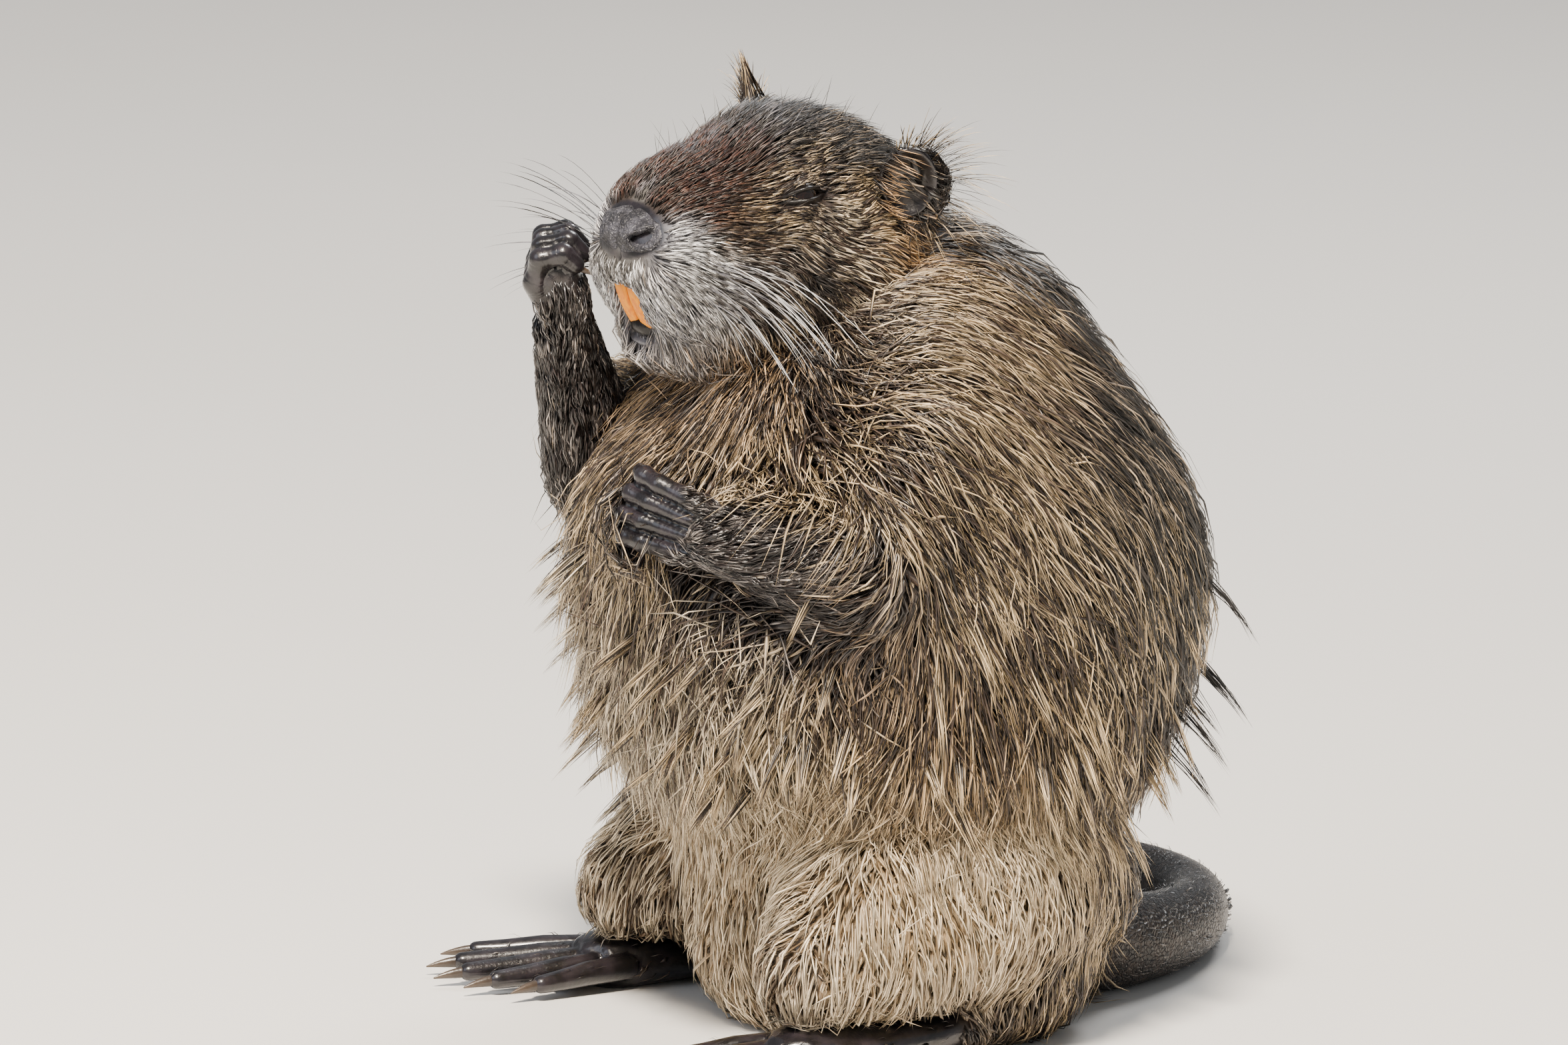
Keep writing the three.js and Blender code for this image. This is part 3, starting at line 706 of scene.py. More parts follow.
set_points(skin.data, points)
normals = normals_of(skin.data)
gap, second, place, _ = nearest_digit(points)
points = points + (place - points) * (1 - smooth(np.abs(gap), 1.5, 2.6))[:, None]
groove = (1 - smooth(second - gap, 0.2, 1.7)) * (1 - smooth(second, 1.4, 2.4))
points = points - normals * (GROOVE_MM * groove)[:, None]
points[:, 2] = np.maximum(points[:, 2], 0.0)
set_points(skin.data, points)
print("points drawn onto fingers and toes:", int((np.abs(gap) < 1.5).sum()))


# %% [markdown]
# ## The face
#
# What makes a face is small: full whisker pads, a brow, a shallow hollow behind the corner of the
# mouth, the slot that the front teeth stand in, and lids drawn nearly shut against the water.
# These are pushed and pulled on the melted skin as soft swellings, each a bell-shaped push along
# the surface. The lids need more points than the rest, so the skin is split finer round each eye
# before they are drawn.

# %% Soft swellings of the face
# aside, back, up, reach, push outward; each is made on both sides
SWELLINGS = [
    [15, 12, -8, 9, 1.6],  # whisker pad
    [17, 24, -16, 11, 1.8],  # upper lip behind the teeth
    [27, 44, -22, 12, 2.0],  # front of the cheek
    [31, 58, -34, 8, -2.6],  # hollow behind the corner of the mouth
    [36, 74, -16, 15, 2.4],  # cheek muscle
    [23, 48, 27, 8, 1.8],  # brow
    [14, 34, 24, 10, -1.2],  # side of the bridge
    [29, 62, 8, 8, 1.2],  # cheekbone
    [35, 78, 20, 7, -1.5],  # hollow before the ear
    [0, 22, 26, 9, 0.8],  # bridge
    [10, 74, 40, 24, -1.3],  # crown, flatter than round
]


def swell(points, normals, masks):
    """Adds each swelling: its push times e to the minus distance over reach, squared."""
    local = in_head(points)
    push = np.zeros(len(points))
    for aside, behind, up, reach, amount in SWELLINGS:
        for side in (-1, 1) if aside else (1,):
            away = np.linalg.norm(local - [side * aside, behind, up], axis=1)
            push += amount * np.exp(-((away / reach) ** 2))
    return points + normals * (push * masks["head"])[:, None]


TEETH_SLOT = {"half": 6.6, "top": -12.5, "bottom": -31, "depth": 4.0}


def cut_mouth(points):
    """Presses the slot for the front teeth back into the muzzle, and a crease down from the nose."""
    aside, behind, up = in_head(points).T
    front = 1 - smooth(behind, 12, 20)
    inside = 1 - smooth(np.abs(aside), TEETH_SLOT["half"] - 1.2, TEETH_SLOT["half"] + 1.2)
    inside *= smooth(up, TEETH_SLOT["bottom"] - 2, TEETH_SLOT["bottom"] + 1)
    inside *= 1 - smooth(up, TEETH_SLOT["top"] - 1.5, TEETH_SLOT["top"] + 1.5)
    crease = np.exp(-((aside / 1.3) ** 2)) * smooth(up, -16, -12) * (1 - smooth(up, -4, 0))
    depth = (TEETH_SLOT["depth"] * inside + 1.4 * crease) * front
    return points + HEAD_BACK * depth[:, None]


masks = part_masks(points)
points = cut_mouth(swell(points, normals_of(skin.data), masks))
set_points(skin.data, points)
print("face swellings:", len(SWELLINGS))

# %% Lids
LID = {
    "half_length": 6.6,
    "half_gap": 1.1,
    "thickness": 1.0,
    "depth": 2.2,
    "spread": 4.3,
    "reach": 10,
    "slant": 4,
}


def eye_frame(side):
    """The eye's centre, the way along its slit, the way up across it, and the way out."""
    centre = on_head([side * EYE["aside"], EYE["back"], EYE["up"]])
    out = unit(np.array([side * 0.9, -0.14, 0.42]) @ HEAD_AXES)
    slant = np.radians(LID["slant"])
    along = np.array([0, np.cos(slant), np.sin(slant)]) @ HEAD_AXES
    along = unit(along - out * (along @ out))
    up = np.cross(out, along) * side
    return centre, along, up * np.sign(up[2]), out


def split_near_eyes(piece):
    """Splits the faces within reach of an eye into four, twice."""
    for reach in (LID["reach"] + 3, LID["reach"]):
        b = bmesh.new()
        b.from_mesh(piece.data)
        b.verts.ensure_lookup_table()
        points = points_of(piece.data)
        near = np.zeros(len(points), bool)
        for side in SIDES.values():
            near |= np.linalg.norm(points - eye_frame(side)[0], axis=1) < reach
        chosen = {b.verts[i] for i in np.flatnonzero(near)}
        edges = [e for e in b.edges if e.verts[0] in chosen and e.verts[1] in chosen]
        bmesh.ops.subdivide_edges(b, edges=edges, cuts=1, use_grid_fill=True)
        b.to_mesh(piece.data)
        b.free()


def draw_lids(points):
    """Lays the skin over the eyeball as a bell-shaped dome, a lid's thickness above it, less a
    slit between the two lids, with a rim along the slit and folds in rings around it."""
    for side in SIDES.values():
        centre, along, up, out = eye_frame(side)
        away = points - centre
        x, y, z = away @ along, away @ up, away @ out
        gap = LID["half_gap"] * np.clip(1 - (x / LID["half_length"]) ** 2, 0, 1)
        edge = np.abs(y + 0.3 - 0.05 * x * x / LID["half_length"]) - gap
        opened = 1 - smooth(edge, -0.5, 0.35)
        opened *= 1 - smooth(np.abs(x), LID["half_length"] - 0.8, LID["half_length"] + 0.2)
        rim = 0.4 * np.exp(-((edge - 0.8) ** 2) / 0.4)
        fold = 0.3 * np.cos(edge * 2 * np.pi / 2.4) * np.exp(-np.abs(edge) / 4)
        dome = (EYE["radius"] + LID["thickness"]) * np.exp(-(x * x + y * y) / (2 * LID["spread"] ** 2))
        wanted = dome + rim - fold - LID["depth"] * opened
        hold = (1 - smooth(np.hypot(x * 0.9, y), 5.2, LID["reach"])) * (z > -6)
        points = points + out * ((wanted - z) * hold)[:, None]
    return points


split_near_eyes(skin)
points = draw_lids(points_of(skin.data))
set_points(skin.data, points)
print("skin with lids:", len(skin.data.vertices), "vertices")

# %% [markdown]
# ## Thinning the skin
#
# Most of the skin will lie under the coat, where its points would be wasted. The Decimate modifier
# folds away the edges that matter least, and a vertex group tells it to spare the face, hands,
# feet and tail, which stay bare or nearly so.

# %% Thin the skin where the coat hides it
SKIN_TRIANGLES = 190_000


def thin_skin():
    points = points_of(skin.data)
    masks = part_masks(points)
    shares = {"hands": 1, "feet": 0.7, "tail": 0.4, "head": 0.75}
    keep = np.max([masks[part] * share for part, share in shares.items()], axis=0)
    from_eyes = [np.linalg.norm(points - eye_frame(s)[0], axis=1) for s in SIDES.values()]
    near_eye = np.min(from_eyes, axis=0)
    keep = np.maximum(keep, 1 - smooth(near_eye, 9, 12))
    group = skin.vertex_groups.new(name="spared")
    levels = np.round((1 - keep) * 10).astype(int)
    for level in range(11):
        group.add(np.flatnonzero(levels == level).tolist(), level / 10, "REPLACE")
    skin.data.calc_loop_triangles()
    decimate = skin.modifiers.new("thin", "DECIMATE")
    decimate.ratio = SKIN_TRIANGLES / len(skin.data.loop_triangles)
    decimate.vertex_group = "spared"
    decimate.vertex_group_factor = 0.8
    finished_mesh(skin)
    skin.vertex_groups.clear()
    skin.data.shade_smooth()


thin_skin()
skin.data.calc_loop_triangles()
print("skin:", len(skin.data.loop_triangles), "triangles")


# %% [markdown]
# ## Finishes
#
# Every finish is built from nodes, starting from what the real stuff is: keratin hair with a film
# of water on it, bare skin, enamel, horn. Colours are written as the hex values that a painter
# would pick on a screen, and one function turns them into the linear values that light works in.
# One more helper adds a node with its settings and links.

# %% Finish helpers
def linear(colour):
    """sRGB hex to linear: over 12.92 near black, and elsewhere the 2.4 power of a shifted value."""
    s = np.array([int(colour[i : i + 2], 16) for i in (1, 3, 5)]) / 255
    return np.where(s <= 0.04045, s / 12.92, ((s + 0.055) / 1.055) ** 2.4)


def rgba(colour):
    return (*linear(colour), 1.0)


def add(tree, kind, settings=(), **inputs):
    """A shader node with its settings; an input is a value or an output to link. in_3 is the
    fourth socket, and other names are the socket's own."""
    node = tree.nodes.new("ShaderNode" + kind)
    for key, value in dict(settings).items():
        setattr(node, key, value)
    for key, value in inputs.items():
        socket = node.inputs[int(key[3:]) if key.startswith("in_") else key.replace("_", " ")]
        if isinstance(value, bpy.types.NodeSocket):
            tree.links.new(value, socket)
        else:
            socket.default_value = value
    return node


def finish(name, **values):
    """A material with a Principled shader whose sockets hold the values."""
    material = bpy.data.materials.new(name)
    material.use_nodes = True
    tree = material.node_tree
    tree.nodes.clear()
    shader = add(tree, "BsdfPrincipled", **values)
    add(tree, "OutputMaterial", Surface=shader.outputs[0])
    return material, tree, shader


def mix(tree, share, a, b):
    return add(tree, "Mix", {"data_type": "RGBA"}, in_0=share, in_6=a, in_7=b).outputs[2]


def noise(tree, size_mm, detail=3.0, roughness=0.55, stretch=(1, 1, 1)):
    """Noise on Object coordinates whose largest blobs are about size_mm across."""
    place = add(tree, "TexCoord").outputs["Object"]
    scaled = add(tree, "Mapping", Vector=place, Scale=stretch).outputs[0]
    grain = {"Scale": 1 / (size_mm * MM), "Detail": detail, "Roughness": roughness}
    return add(tree, "TexNoise", Vector=scaled, **grain).outputs[0]


def cells(tree, size_mm):
    """Distance to the edge of the nearest cell, on Object coordinates, for cells of a size."""
    place = add(tree, "TexCoord").outputs["Object"]
    edges = {"feature": "DISTANCE_TO_EDGE"}
    return add(tree, "TexVoronoi", edges, Vector=place, Scale=1 / (size_mm * MM)).outputs[0]


def math(tree, operation, a, b=0.5):
    return add(tree, "Math", {"operation": operation}, in_0=a, in_1=b).outputs[0]


def toned(tree, value, colour):
    """The colour with its value multiplied."""
    return add(tree, "HueSaturation", Value=value, Color=colour).outputs[0]


def bump(tree, height, depth_mm, under=None):
    node = add(tree, "Bump", Height=height, Distance=depth_mm * MM, Strength=1.0)
    if under is not None:
        tree.links.new(under, node.inputs["Normal"])
    return node.outputs[0]


def ramp(tree, value, low, high, to_low=0.0, to_high=1.0):
    return add(tree, "MapRange", in_0=value, in_1=low, in_2=high, in_3=to_low, in_4=to_high).outputs[0]


def attribute(tree, name, output="Fac"):
    return add(tree, "Attribute", {"attribute_name": name}).outputs[output]


# %% [markdown]
# ### Wet guard hair
#
# Hair is keratin, with an index of about 1.55 and a fine scaly surface that scatters light. Here
# each lock wears a film of water too, which gives a second, sharper shine. The colour runs from
# the dark base of a hair to its pale tip, and both ends are carried by the tufts themselves. A
# tuft is a lock of several hairs, so fine lines about 0.3 mm apart run down its length, and each
# line turns pale at a height of its own.

# %% Hair finishes
def hair_finish(name, roughness, film):
    shine = {"Coat_Weight": film, "Coat_Roughness": 0.18, "Coat_IOR": 1.33}
    material, tree, shader = finish(name, Roughness=roughness, IOR=1.55, **shine)
    strand = attribute(tree, "strand", "Vector")
    single = add(tree, "TexNoise", Vector=strand, Scale=1.0, Detail=2.0).outputs[0]
    single = ramp(tree, single, 0.34, 0.66)
    started = ramp(tree, single, 0, 1, -0.3, 0.26)
    fade = ramp(tree, math(tree, "ADD", attribute(tree, "along"), started), 0.22, 0.75)
    root, tip = (attribute(tree, end + "_colour", "Color") for end in ("base", "tip"))
    streak = ramp(tree, single, 0, 1, 0.5, 1.22)
    tone = math(tree, "MULTIPLY", streak, attribute(tree, "tone"))
    shaded = toned(tree, tone, mix(tree, fade, root, tip))
    tree.links.new(shaded, shader.inputs["Base Color"])
    tree.links.new(bump(tree, single, 0.1), shader.inputs["Normal"])
    return material


guard_hair = hair_finish("wet_guard_hair", 0.42, 0.35)
face_hair = hair_finish("damp_face_hair", 0.5, 0.12)
soaked_hair = hair_finish("soaked_dark_hair", 0.3, 0.9)
whisker_keratin = hair_finish("whisker_keratin", 0.3, 0.2)

# %% [markdown]
# ### Skin, nose and scaly tail
#
# A coypu's bare skin is nearly black. Wet, it shines, and the soft pad at the heel of the raised hand is
# a little pink. The tail's skin is set with small scales. Under the coat the skin takes the colour of the
# underfur, so that no pale spot shows between the tufts. The slit of each eye, the slot of the front
# teeth and the bowl of each ear are painted near black, as painted shade in those recesses, and lose
# their wet shine. The parts are told apart by values stored on the skin's points.

# %% Skin finishes
def skin_finish():
    material, tree, shader = finish("wet_bare_skin", IOR=1.4, Coat_Roughness=0.16, Coat_IOR=1.4)
    bare = attribute(tree, "bare")
    scaly = attribute(tree, "scaly")
    blotch = ramp(tree, noise(tree, 7.0), 0.42, 0.68)
    hide = mix(tree, blotch, rgba("#0f0d10"), rgba("#262126"))
    tail_hide = mix(tree, ramp(tree, noise(tree, 3.0), 0.4, 0.6), rgba("#1a1614"), rgba("#382f29"))
    hide = mix(tree, attribute(tree, "pinkish"), hide, rgba("#9a827d"))
    hide = mix(tree, scaly, hide, tail_hide)
    # Painted shade: the eye slits, the teeth slot and the ear bowls are darkened to near black, as shade
    # deep in those recesses.
    hide = mix(tree, attribute(tree, "deep"), hide, rgba("#0d0908"))
    strand = ramp(tree, noise(tree, 1.4, 5.0), 0.3, 0.7, 0.45, 0.95)
    fur = toned(tree, strand, attribute(tree, "base_colour", "Color"))
    tree.links.new(mix(tree, bare, fur, hide), shader.inputs["Base Color"])
    tree.links.new(ramp(tree, bare, 0, 1, 0.7, 0.34), shader.inputs["Roughness"])
    dull = math(tree, "MAXIMUM", scaly, attribute(tree, "deep"))
    tree.links.new(ramp(tree, dull, 0, 1, 0.95, 0.08), shader.inputs["Coat Weight"])
    scales = math(tree, "MULTIPLY", ramp(tree, cells(tree, 1.7), 0.0, 0.22), scaly)
    phase = math(tree, "ADD", attribute(tree, "digit"), noise(tree, 5.0))
    folds = math(tree, "SINE", ramp(tree, phase, 0, 30, 0, 96))
    relief = bump(tree, noise(tree, 1.6, 4.0, 0.6), 0.22)
    relief = bump(tree, scales, 0.35, relief)
    relief = bump(tree, folds, 0.035, relief)
    tree.links.new(relief, shader.inputs["Normal"])
    return material


def nose_finish():
    """Granular skin: cells a little over a millimetre, a fine grain over them, and little gloss."""
    film = {"Coat_Weight": 0.15, "Coat_Roughness": 0.3}
    material, tree, shader = finish("granular_nose_skin", Roughness=0.5, IOR=1.4, **film)
    grain = noise(tree, 0.9, 4.0)
    tone = mix(tree, ramp(tree, noise(tree, 5.0), 0.4, 0.65), rgba("#29292e"), rgba("#505058"))
    specks = ramp(tree, noise(tree, 0.55, 2.0), 0.62, 0.7, 0.0, 0.5)
    tone = mix(tree, specks, tone, rgba("#a9a8aa"))
    # Painted shade: near black in the nostrils, standing for the shade inside them.
    deep = mix(tree, attribute(tree, "hollow"), tone, rgba("#060505"))
    tree.links.new(deep, shader.inputs["Base Color"])
    relief = bump(tree, ramp(tree, cells(tree, 1.2), 0.0, 0.3), 0.5)
    tree.links.new(bump(tree, grain, 0.2, relief), shader.inputs["Normal"])
    return material


skin_material = skin_finish()
nose_material = nose_finish()

# %% [markdown]
# ### Teeth, claws and eyes
#
# A rodent's front teeth are enamel stained orange with iron, glossy, with fine lines down their
# length. Claws are horn: brown, satin and a little clearer towards the tip. The eye is a wet dark
# brown ball, of which only a slit shows.

# %% Tooth, claw and eye finishes
def tooth_finish():
    film = {"Coat_Weight": 0.06, "Coat_Roughness": 0.1}
    material, tree, shader = finish("orange_enamel", Roughness=0.45, IOR=1.3, **film)
    lines = ramp(tree, noise(tree, 1.1, 3.0, 0.6, (1, 1, 0.12)), 0.38, 0.66)
    colour = mix(tree, lines, rgba("#ee9900"), rgba("#d97500"))
    # Painted shade: the tooth is darkened to 0.6 of its value towards its root, where it goes up under
    # the lip.
    shade_at_gum = ramp(tree, attribute(tree, "along"), 0.0, 0.25, 0.6, 1.0)
    tree.links.new(toned(tree, shade_at_gum, colour), shader.inputs["Base Color"])
    tree.links.new(bump(tree, lines, 0.05), shader.inputs["Normal"])
    return material


def claw_finish():
    film = {"Coat_Weight": 0.2, "Coat_Roughness": 0.2}
    material, tree, shader = finish("dark_horn", Roughness=0.34, IOR=1.55, **film)
    streaks = ramp(tree, noise(tree, 1.5, 4.0), 0.35, 0.7)
    root = mix(tree, streaks, rgba("#1d1816"), rgba("#332a25"))
    colour = mix(tree, attribute(tree, "along"), root, rgba("#54473b"))
    tree.links.new(colour, shader.inputs["Base Color"])
    tree.links.new(bump(tree, streaks, 0.06), shader.inputs["Normal"])
    return material


def eye_finish():
    film = {"Coat_Weight": 1.0, "Coat_Roughness": 0.02}
    material, tree, shader = finish("wet_dark_eye", Roughness=0.06, IOR=1.38, **film)
    flecks = ramp(tree, noise(tree, 1.2), 0.4, 0.7)
    tree.links.new(mix(tree, flecks, rgba("#0a0605"), rgba("#1c0f0a")), shader.inputs["Base Color"])
    return material


tooth_material, claw_material, eye_material = tooth_finish(), claw_finish(), eye_finish()
print("finishes:", [m.name for m in bpy.data.materials if m.users])


# %% Keeping values and taking places
def store(piece, name, values, kind="FLOAT"):
    """Keeps a value for each point of a piece, for its finish to read."""
    layer = piece.data.attributes.new(name, kind, "POINT")
    key = {"FLOAT": "value", "FLOAT_VECTOR": "vector", "FLOAT_COLOR": "color"}[kind]
    layer.data.foreach_set(key, np.asarray(values, np.float32).ravel())


def settle(piece, slot, *nodes):
    """The piece rides on the one body and stands for its solid parts, which are hidden. The slot is not
    used.
    """
    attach(piece, "root")
    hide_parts(*nodes)


# %% [markdown]
# ## The coat map
#
# A coat changes from place to place: how long the hair is, which way it lies, how far it stands
# off, how it clumps and what colour it is. All of that is written here once, as a list of named
# places on the animal, and every point of the coat takes a mixture of the places near it, weighted
# by a bell curve. The skin reads the same list, so that it carries the same markings.

# %% Colours of the coat
COAT_COLOURS = {
    "black": "#12100f",
    "umber": "#1a1310",
    "taupe": "#43352b",
    "chestnut": "#583426",
    "russet": "#7c5847",
    "straw": "#efd2a4",
    "gold": "#dfb079",
    "pale": "#fdebcb",
    "tan": "#a6947f",
    "cream": "#a88d69",
    "slate": "#565350",
    "grey": "#74737a",
    "ivory": "#ffffff",
}
# what shows between the pale tips, for each colour at the root
UNDERFUR = {
    "black": "#3d3936",
    "umber": "#503f33",
    "taupe": "#6d5948",
    "cream": "#e2c9a0",
    "slate": "#74726f",
    "grey": "#a2a2a7",
}

# %% Places on the head
# Aside, back and up from the nose; reach; the lie, aside, back and up; hair length; stand-off;
# clump; root and tip colour; share of tips that are pale. Each is made on both sides.
HEAD_PLACES = [
    ["nose top", [0, 8, 16], 3, [0, 0.9, 0.5], 4, 0.4, 0.2, "slate", "grey", 0.6],
    ["over the nose", [9, 11, 15], 6, [0.2, 0.95, 0.3], 6, 0.4, 0.3, "umber", "chestnut", 0.5],
    ["nose side", [17, 8, 4], 4, [0.7, 0.7, 0.2], 5.5, 0.35, 0.2, "grey", "ivory", 0.8],
    ["under nose", [0, 2, -10], 6, [0.1, 0, -1], 4, 0.25, 0.1, "slate", "ivory", 0.6],
    ["bridge front", [5, 16, 23], 8, [0.1, 1, 0.3], 8, 0.6, 0.5, "umber", "chestnut", 0.6],
    ["bridge side", [15, 20, 16], 8, [0.3, 0.9, 0], 8, 0.5, 0.5, "umber", "chestnut", 0.6],
    ["beside the bridge", [21, 26, 8], 7, [0.25, 0.95, 0], 8, 0.4, 0.4, "umber", "chestnut", 0.5],
    ["bridge", [8, 34, 31], 8, [0, 1, 0.2], 8, 0.5, 0.4, "umber", "chestnut", 0.6],
    ["forehead", [8, 50, 37], 10, [0, 1, 0.1], 10, 0.9, 0.4, "black", "grey", 0.3],
    ["crown", [10, 72, 41], 13, [0, 1, 0.1], 10, 0.8, 0.5, "black", "tan", 0.35],
    ["back of crown", [12, 96, 30], 12, [0, 0.9, -0.4], 13, 0.6, 0.5, "black", "tan", 0.25],
    ["lip front", [10, 5, -16], 6, [0.5, 0.3, -0.9], 7, 0.3, 0.3, "grey", "ivory", 0.95],
    ["lip side", [20, 15, -22], 8, [0.2, 0.6, -0.8], 9, 0.35, 0.4, "grey", "ivory", 0.95],
    ["whisker pad", [22, 15, -5], 7, [0.3, 0.9, -0.35], 7, 0.3, 0.3, "slate", "ivory", 0.85],
    ["behind the pad", [28, 30, -9], 9, [0.1, 0.95, -0.4], 10, 0.35, 0.5, "umber", "ivory", 0.45],
    ["below the bridge", [24, 30, 8], 7, [0.1, 1, -0.15], 8, 0.3, 0.3, "umber", "straw", 0.4],
    ["before the eye", [25, 42, 14], 6, [0, 1, 0.15], 6, 0.2, 0.3, "umber", "straw", 0.4],
    ["above the eye", [22, 52, 28], 6, [0, 1, 0.1], 6, 0.3, 0.3, "umber", "straw", 0.45],
    ["upper lid", [26, 52, 21.5], 4, [0, 1, 0.35], 3.2, 0.25, 0.2, "umber", "tan", 0.6],
    ["lower lid", [29, 52, 11], 4, [0, 1, -0.35], 3.2, 0.2, 0.2, "umber", "tan", 0.6],
    ["below the eye", [31, 58, 5], 6, [0, 0.95, -0.3], 8, 0.25, 0.3, "umber", "pale", 0.42],
    ["cheek fold", [33, 51, -6], 7, [0.1, 0.8, -0.6], 9, 0.6, 0.85, "black", "tan", 0.12],
    ["cheek front", [31, 42, -18], 9, [0, 0.85, -0.5], 10, 0.35, 0.5, "umber", "pale", 0.42],
    # Painted shade: black roots and few pale tips darken the hollow behind the corner of the mouth.
    ["mouth hollow", [33, 58, -32], 9, [0.2, 0.3, -0.9], 11, 0.8, 0.8, "black", "tan", 0.15],
    ["cheek", [38, 66, -14], 10, [0, 0.85, -0.5], 12, 0.3, 0.5, "umber", "pale", 0.46],
    ["before the ear", [34, 74, 14], 7, [0, 0.8, 0.35], 9, 0.3, 0.4, "umber", "straw", 0.6],
    ["under the ear", [39, 84, 0], 9, [0.1, 0.85, -0.4], 16, 0.4, 0.6, "umber", "gold", 0.75],
    ["back cheek", [40, 84, -20], 12, [0.1, 0.75, -0.6], 19, 0.4, 0.6, "taupe", "straw", 0.7],
    ["behind the ear", [33, 98, 16], 9, [0.1, 0.9, -0.3], 17, 0.4, 0.6, "black", "tan", 0.35],
    ["chin", [6, 16, -40], 13, [0, 0.35, -0.9], 13, 0.5, 0.7, "grey", "ivory", 0.95],
    ["jaw", [18, 32, -44], 9, [0.1, 0.6, -0.8], 14, 0.5, 0.6, "slate", "ivory", 0.6],
    ["throat", [6, 58, -52], 14, [0, 0.3, -0.95], 18, 0.5, 0.7, "umber", "straw", 0.5],
]

# %% Places on the body
# Degrees round from the breast towards the back; height; reach; the lie as degrees turned from
# straight down towards the back; hair length; stand-off; clump; colours; share of pale tips.
BODY_PLACES = [
    ["breast", 8, 222, 22, 5, 24, 0.5, 0.7, "umber", "gold", 0.5],
    ["upper chest", 22, 198, 24, 14, 28, 0.6, 0.75, "umber", "straw", 0.55],
    ["chest", 15, 168, 24, 4, 28, 0.6, 0.75, "umber", "straw", 0.6],
    ["belly", 12, 136, 28, -10, 30, 0.85, 0.9, "taupe", "pale", 0.8],
    ["low belly", 18, 122, 22, -8, 30, 0.8, 0.95, "umber", "pale", 0.8],
    ["under belly", 12, 56, 26, 0, 20, 0.4, 0.85, "cream", "pale", 0.92],
    ["neck side", 78, 232, 22, 60, 28, 0.35, 0.65, "taupe", "straw", 0.66],
    ["shoulder", 72, 205, 26, 42, 32, 0.35, 0.7, "umber", "straw", 0.6],
    ["behind the elbow", 84, 165, 28, 28, 32, 0.35, 0.7, "umber", "straw", 0.55],
    ["side of the belly", 55, 120, 26, 0, 27, 0.5, 0.8, "umber", "straw", 0.48],
    ["flank", 96, 132, 34, 16, 36, 0.4, 0.85, "umber", "straw", 0.42],
    ["low flank", 80, 122, 20, 4, 32, 0.6, 0.92, "umber", "gold", 0.5],
    ["back flank", 125, 165, 34, 24, 36, 0.35, 0.8, "black", "straw", 0.25],
    ["low back flank", 128, 120, 28, 10, 36, 0.5, 0.88, "umber", "straw", 0.32],
    ["nape", 165, 236, 26, 10, 28, 0.4, 0.65, "black", "tan", 0.18],
    ["back", 172, 195, 34, 6, 34, 0.35, 0.75, "black", "tan", 0.18],
    ["middle back", 175, 150, 34, 4, 38, 0.4, 0.85, "black", "tan", 0.18],
    ["rump", 172, 105, 30, 2, 38, 0.55, 0.92, "black", "tan", 0.2],
    ["low rump", 170, 60, 28, 4, 26, 0.4, 0.8, "umber", "straw", 0.4],
    ["skirt front", 42, 90, 22, -6, 24, 0.5, 0.9, "cream", "pale", 1.0],
    ["skirt side", 86, 88, 21, 2, 24, 0.5, 0.9, "cream", "pale", 0.95],
    ["skirt back", 126, 86, 18, 6, 26, 0.5, 0.9, "taupe", "straw", 0.75],
    ["upper back flank", 122, 208, 26, 34, 34, 0.35, 0.75, "black", "tan", 0.22],
    ["haunch side", 80, 56, 24, 4, 22, 0.4, 0.85, "cream", "pale", 0.9],
    ["back haunch", 128, 56, 26, 8, 24, 0.35, 0.8, "umber", "straw", 0.6],
    ["knee", 30, 40, 20, 8, 17, 0.3, 0.7, "taupe", "pale", 0.85],
    ["foot of the haunch", 80, 14, 18, 20, 13, 0.2, 0.6, "umber", "tan", 0.5],
]
LEFT_PLACES = [
    ["below the resting hand", 36, 142, 16, -42, 27, 0.8, 0.92, "umber", "pale", 0.6],
    # Short hair just under the resting elbow: its russet tips, darker than the straw round it, are
    # painted shade under the arm.
    ["below the resting elbow", 60, 146, 15, -4, 15, 0.25, 0.5, "umber", "russet", 0.6],
    ["over the resting arm", 40, 192, 14, 0, 26, 0.7, 0.8, "umber", "straw", 0.6],
]
RIGHT_PLACES = [
    ["behind the raised arm", 58, 188, 20, 0, 26, 1.0, 0.85, "umber", "pale", 0.75],
]

# %% Mixing the places
LENGTH, STAND, CLUMP, PALE, REACH = range(5)


def body_point(degrees, height):
    """The point of the body's own rings at an angle round from the breast, and a height."""
    levels = np.array(BODY_LEVELS, float)
    y, deep, wide = (np.interp(height, levels[:, 0], levels[:, k]) for k in (1, 2, 3))
    angle = np.radians(degrees)
    return np.array([wide * np.sin(angle), y - deep * np.cos(angle), height])


def colour_row(base, tip):
    """Root, underfur and tip colours in one row of nine."""
    return np.concatenate([linear(COAT_COLOURS[base]), linear(UNDERFUR[base]), linear(COAT_COLOURS[tip])])


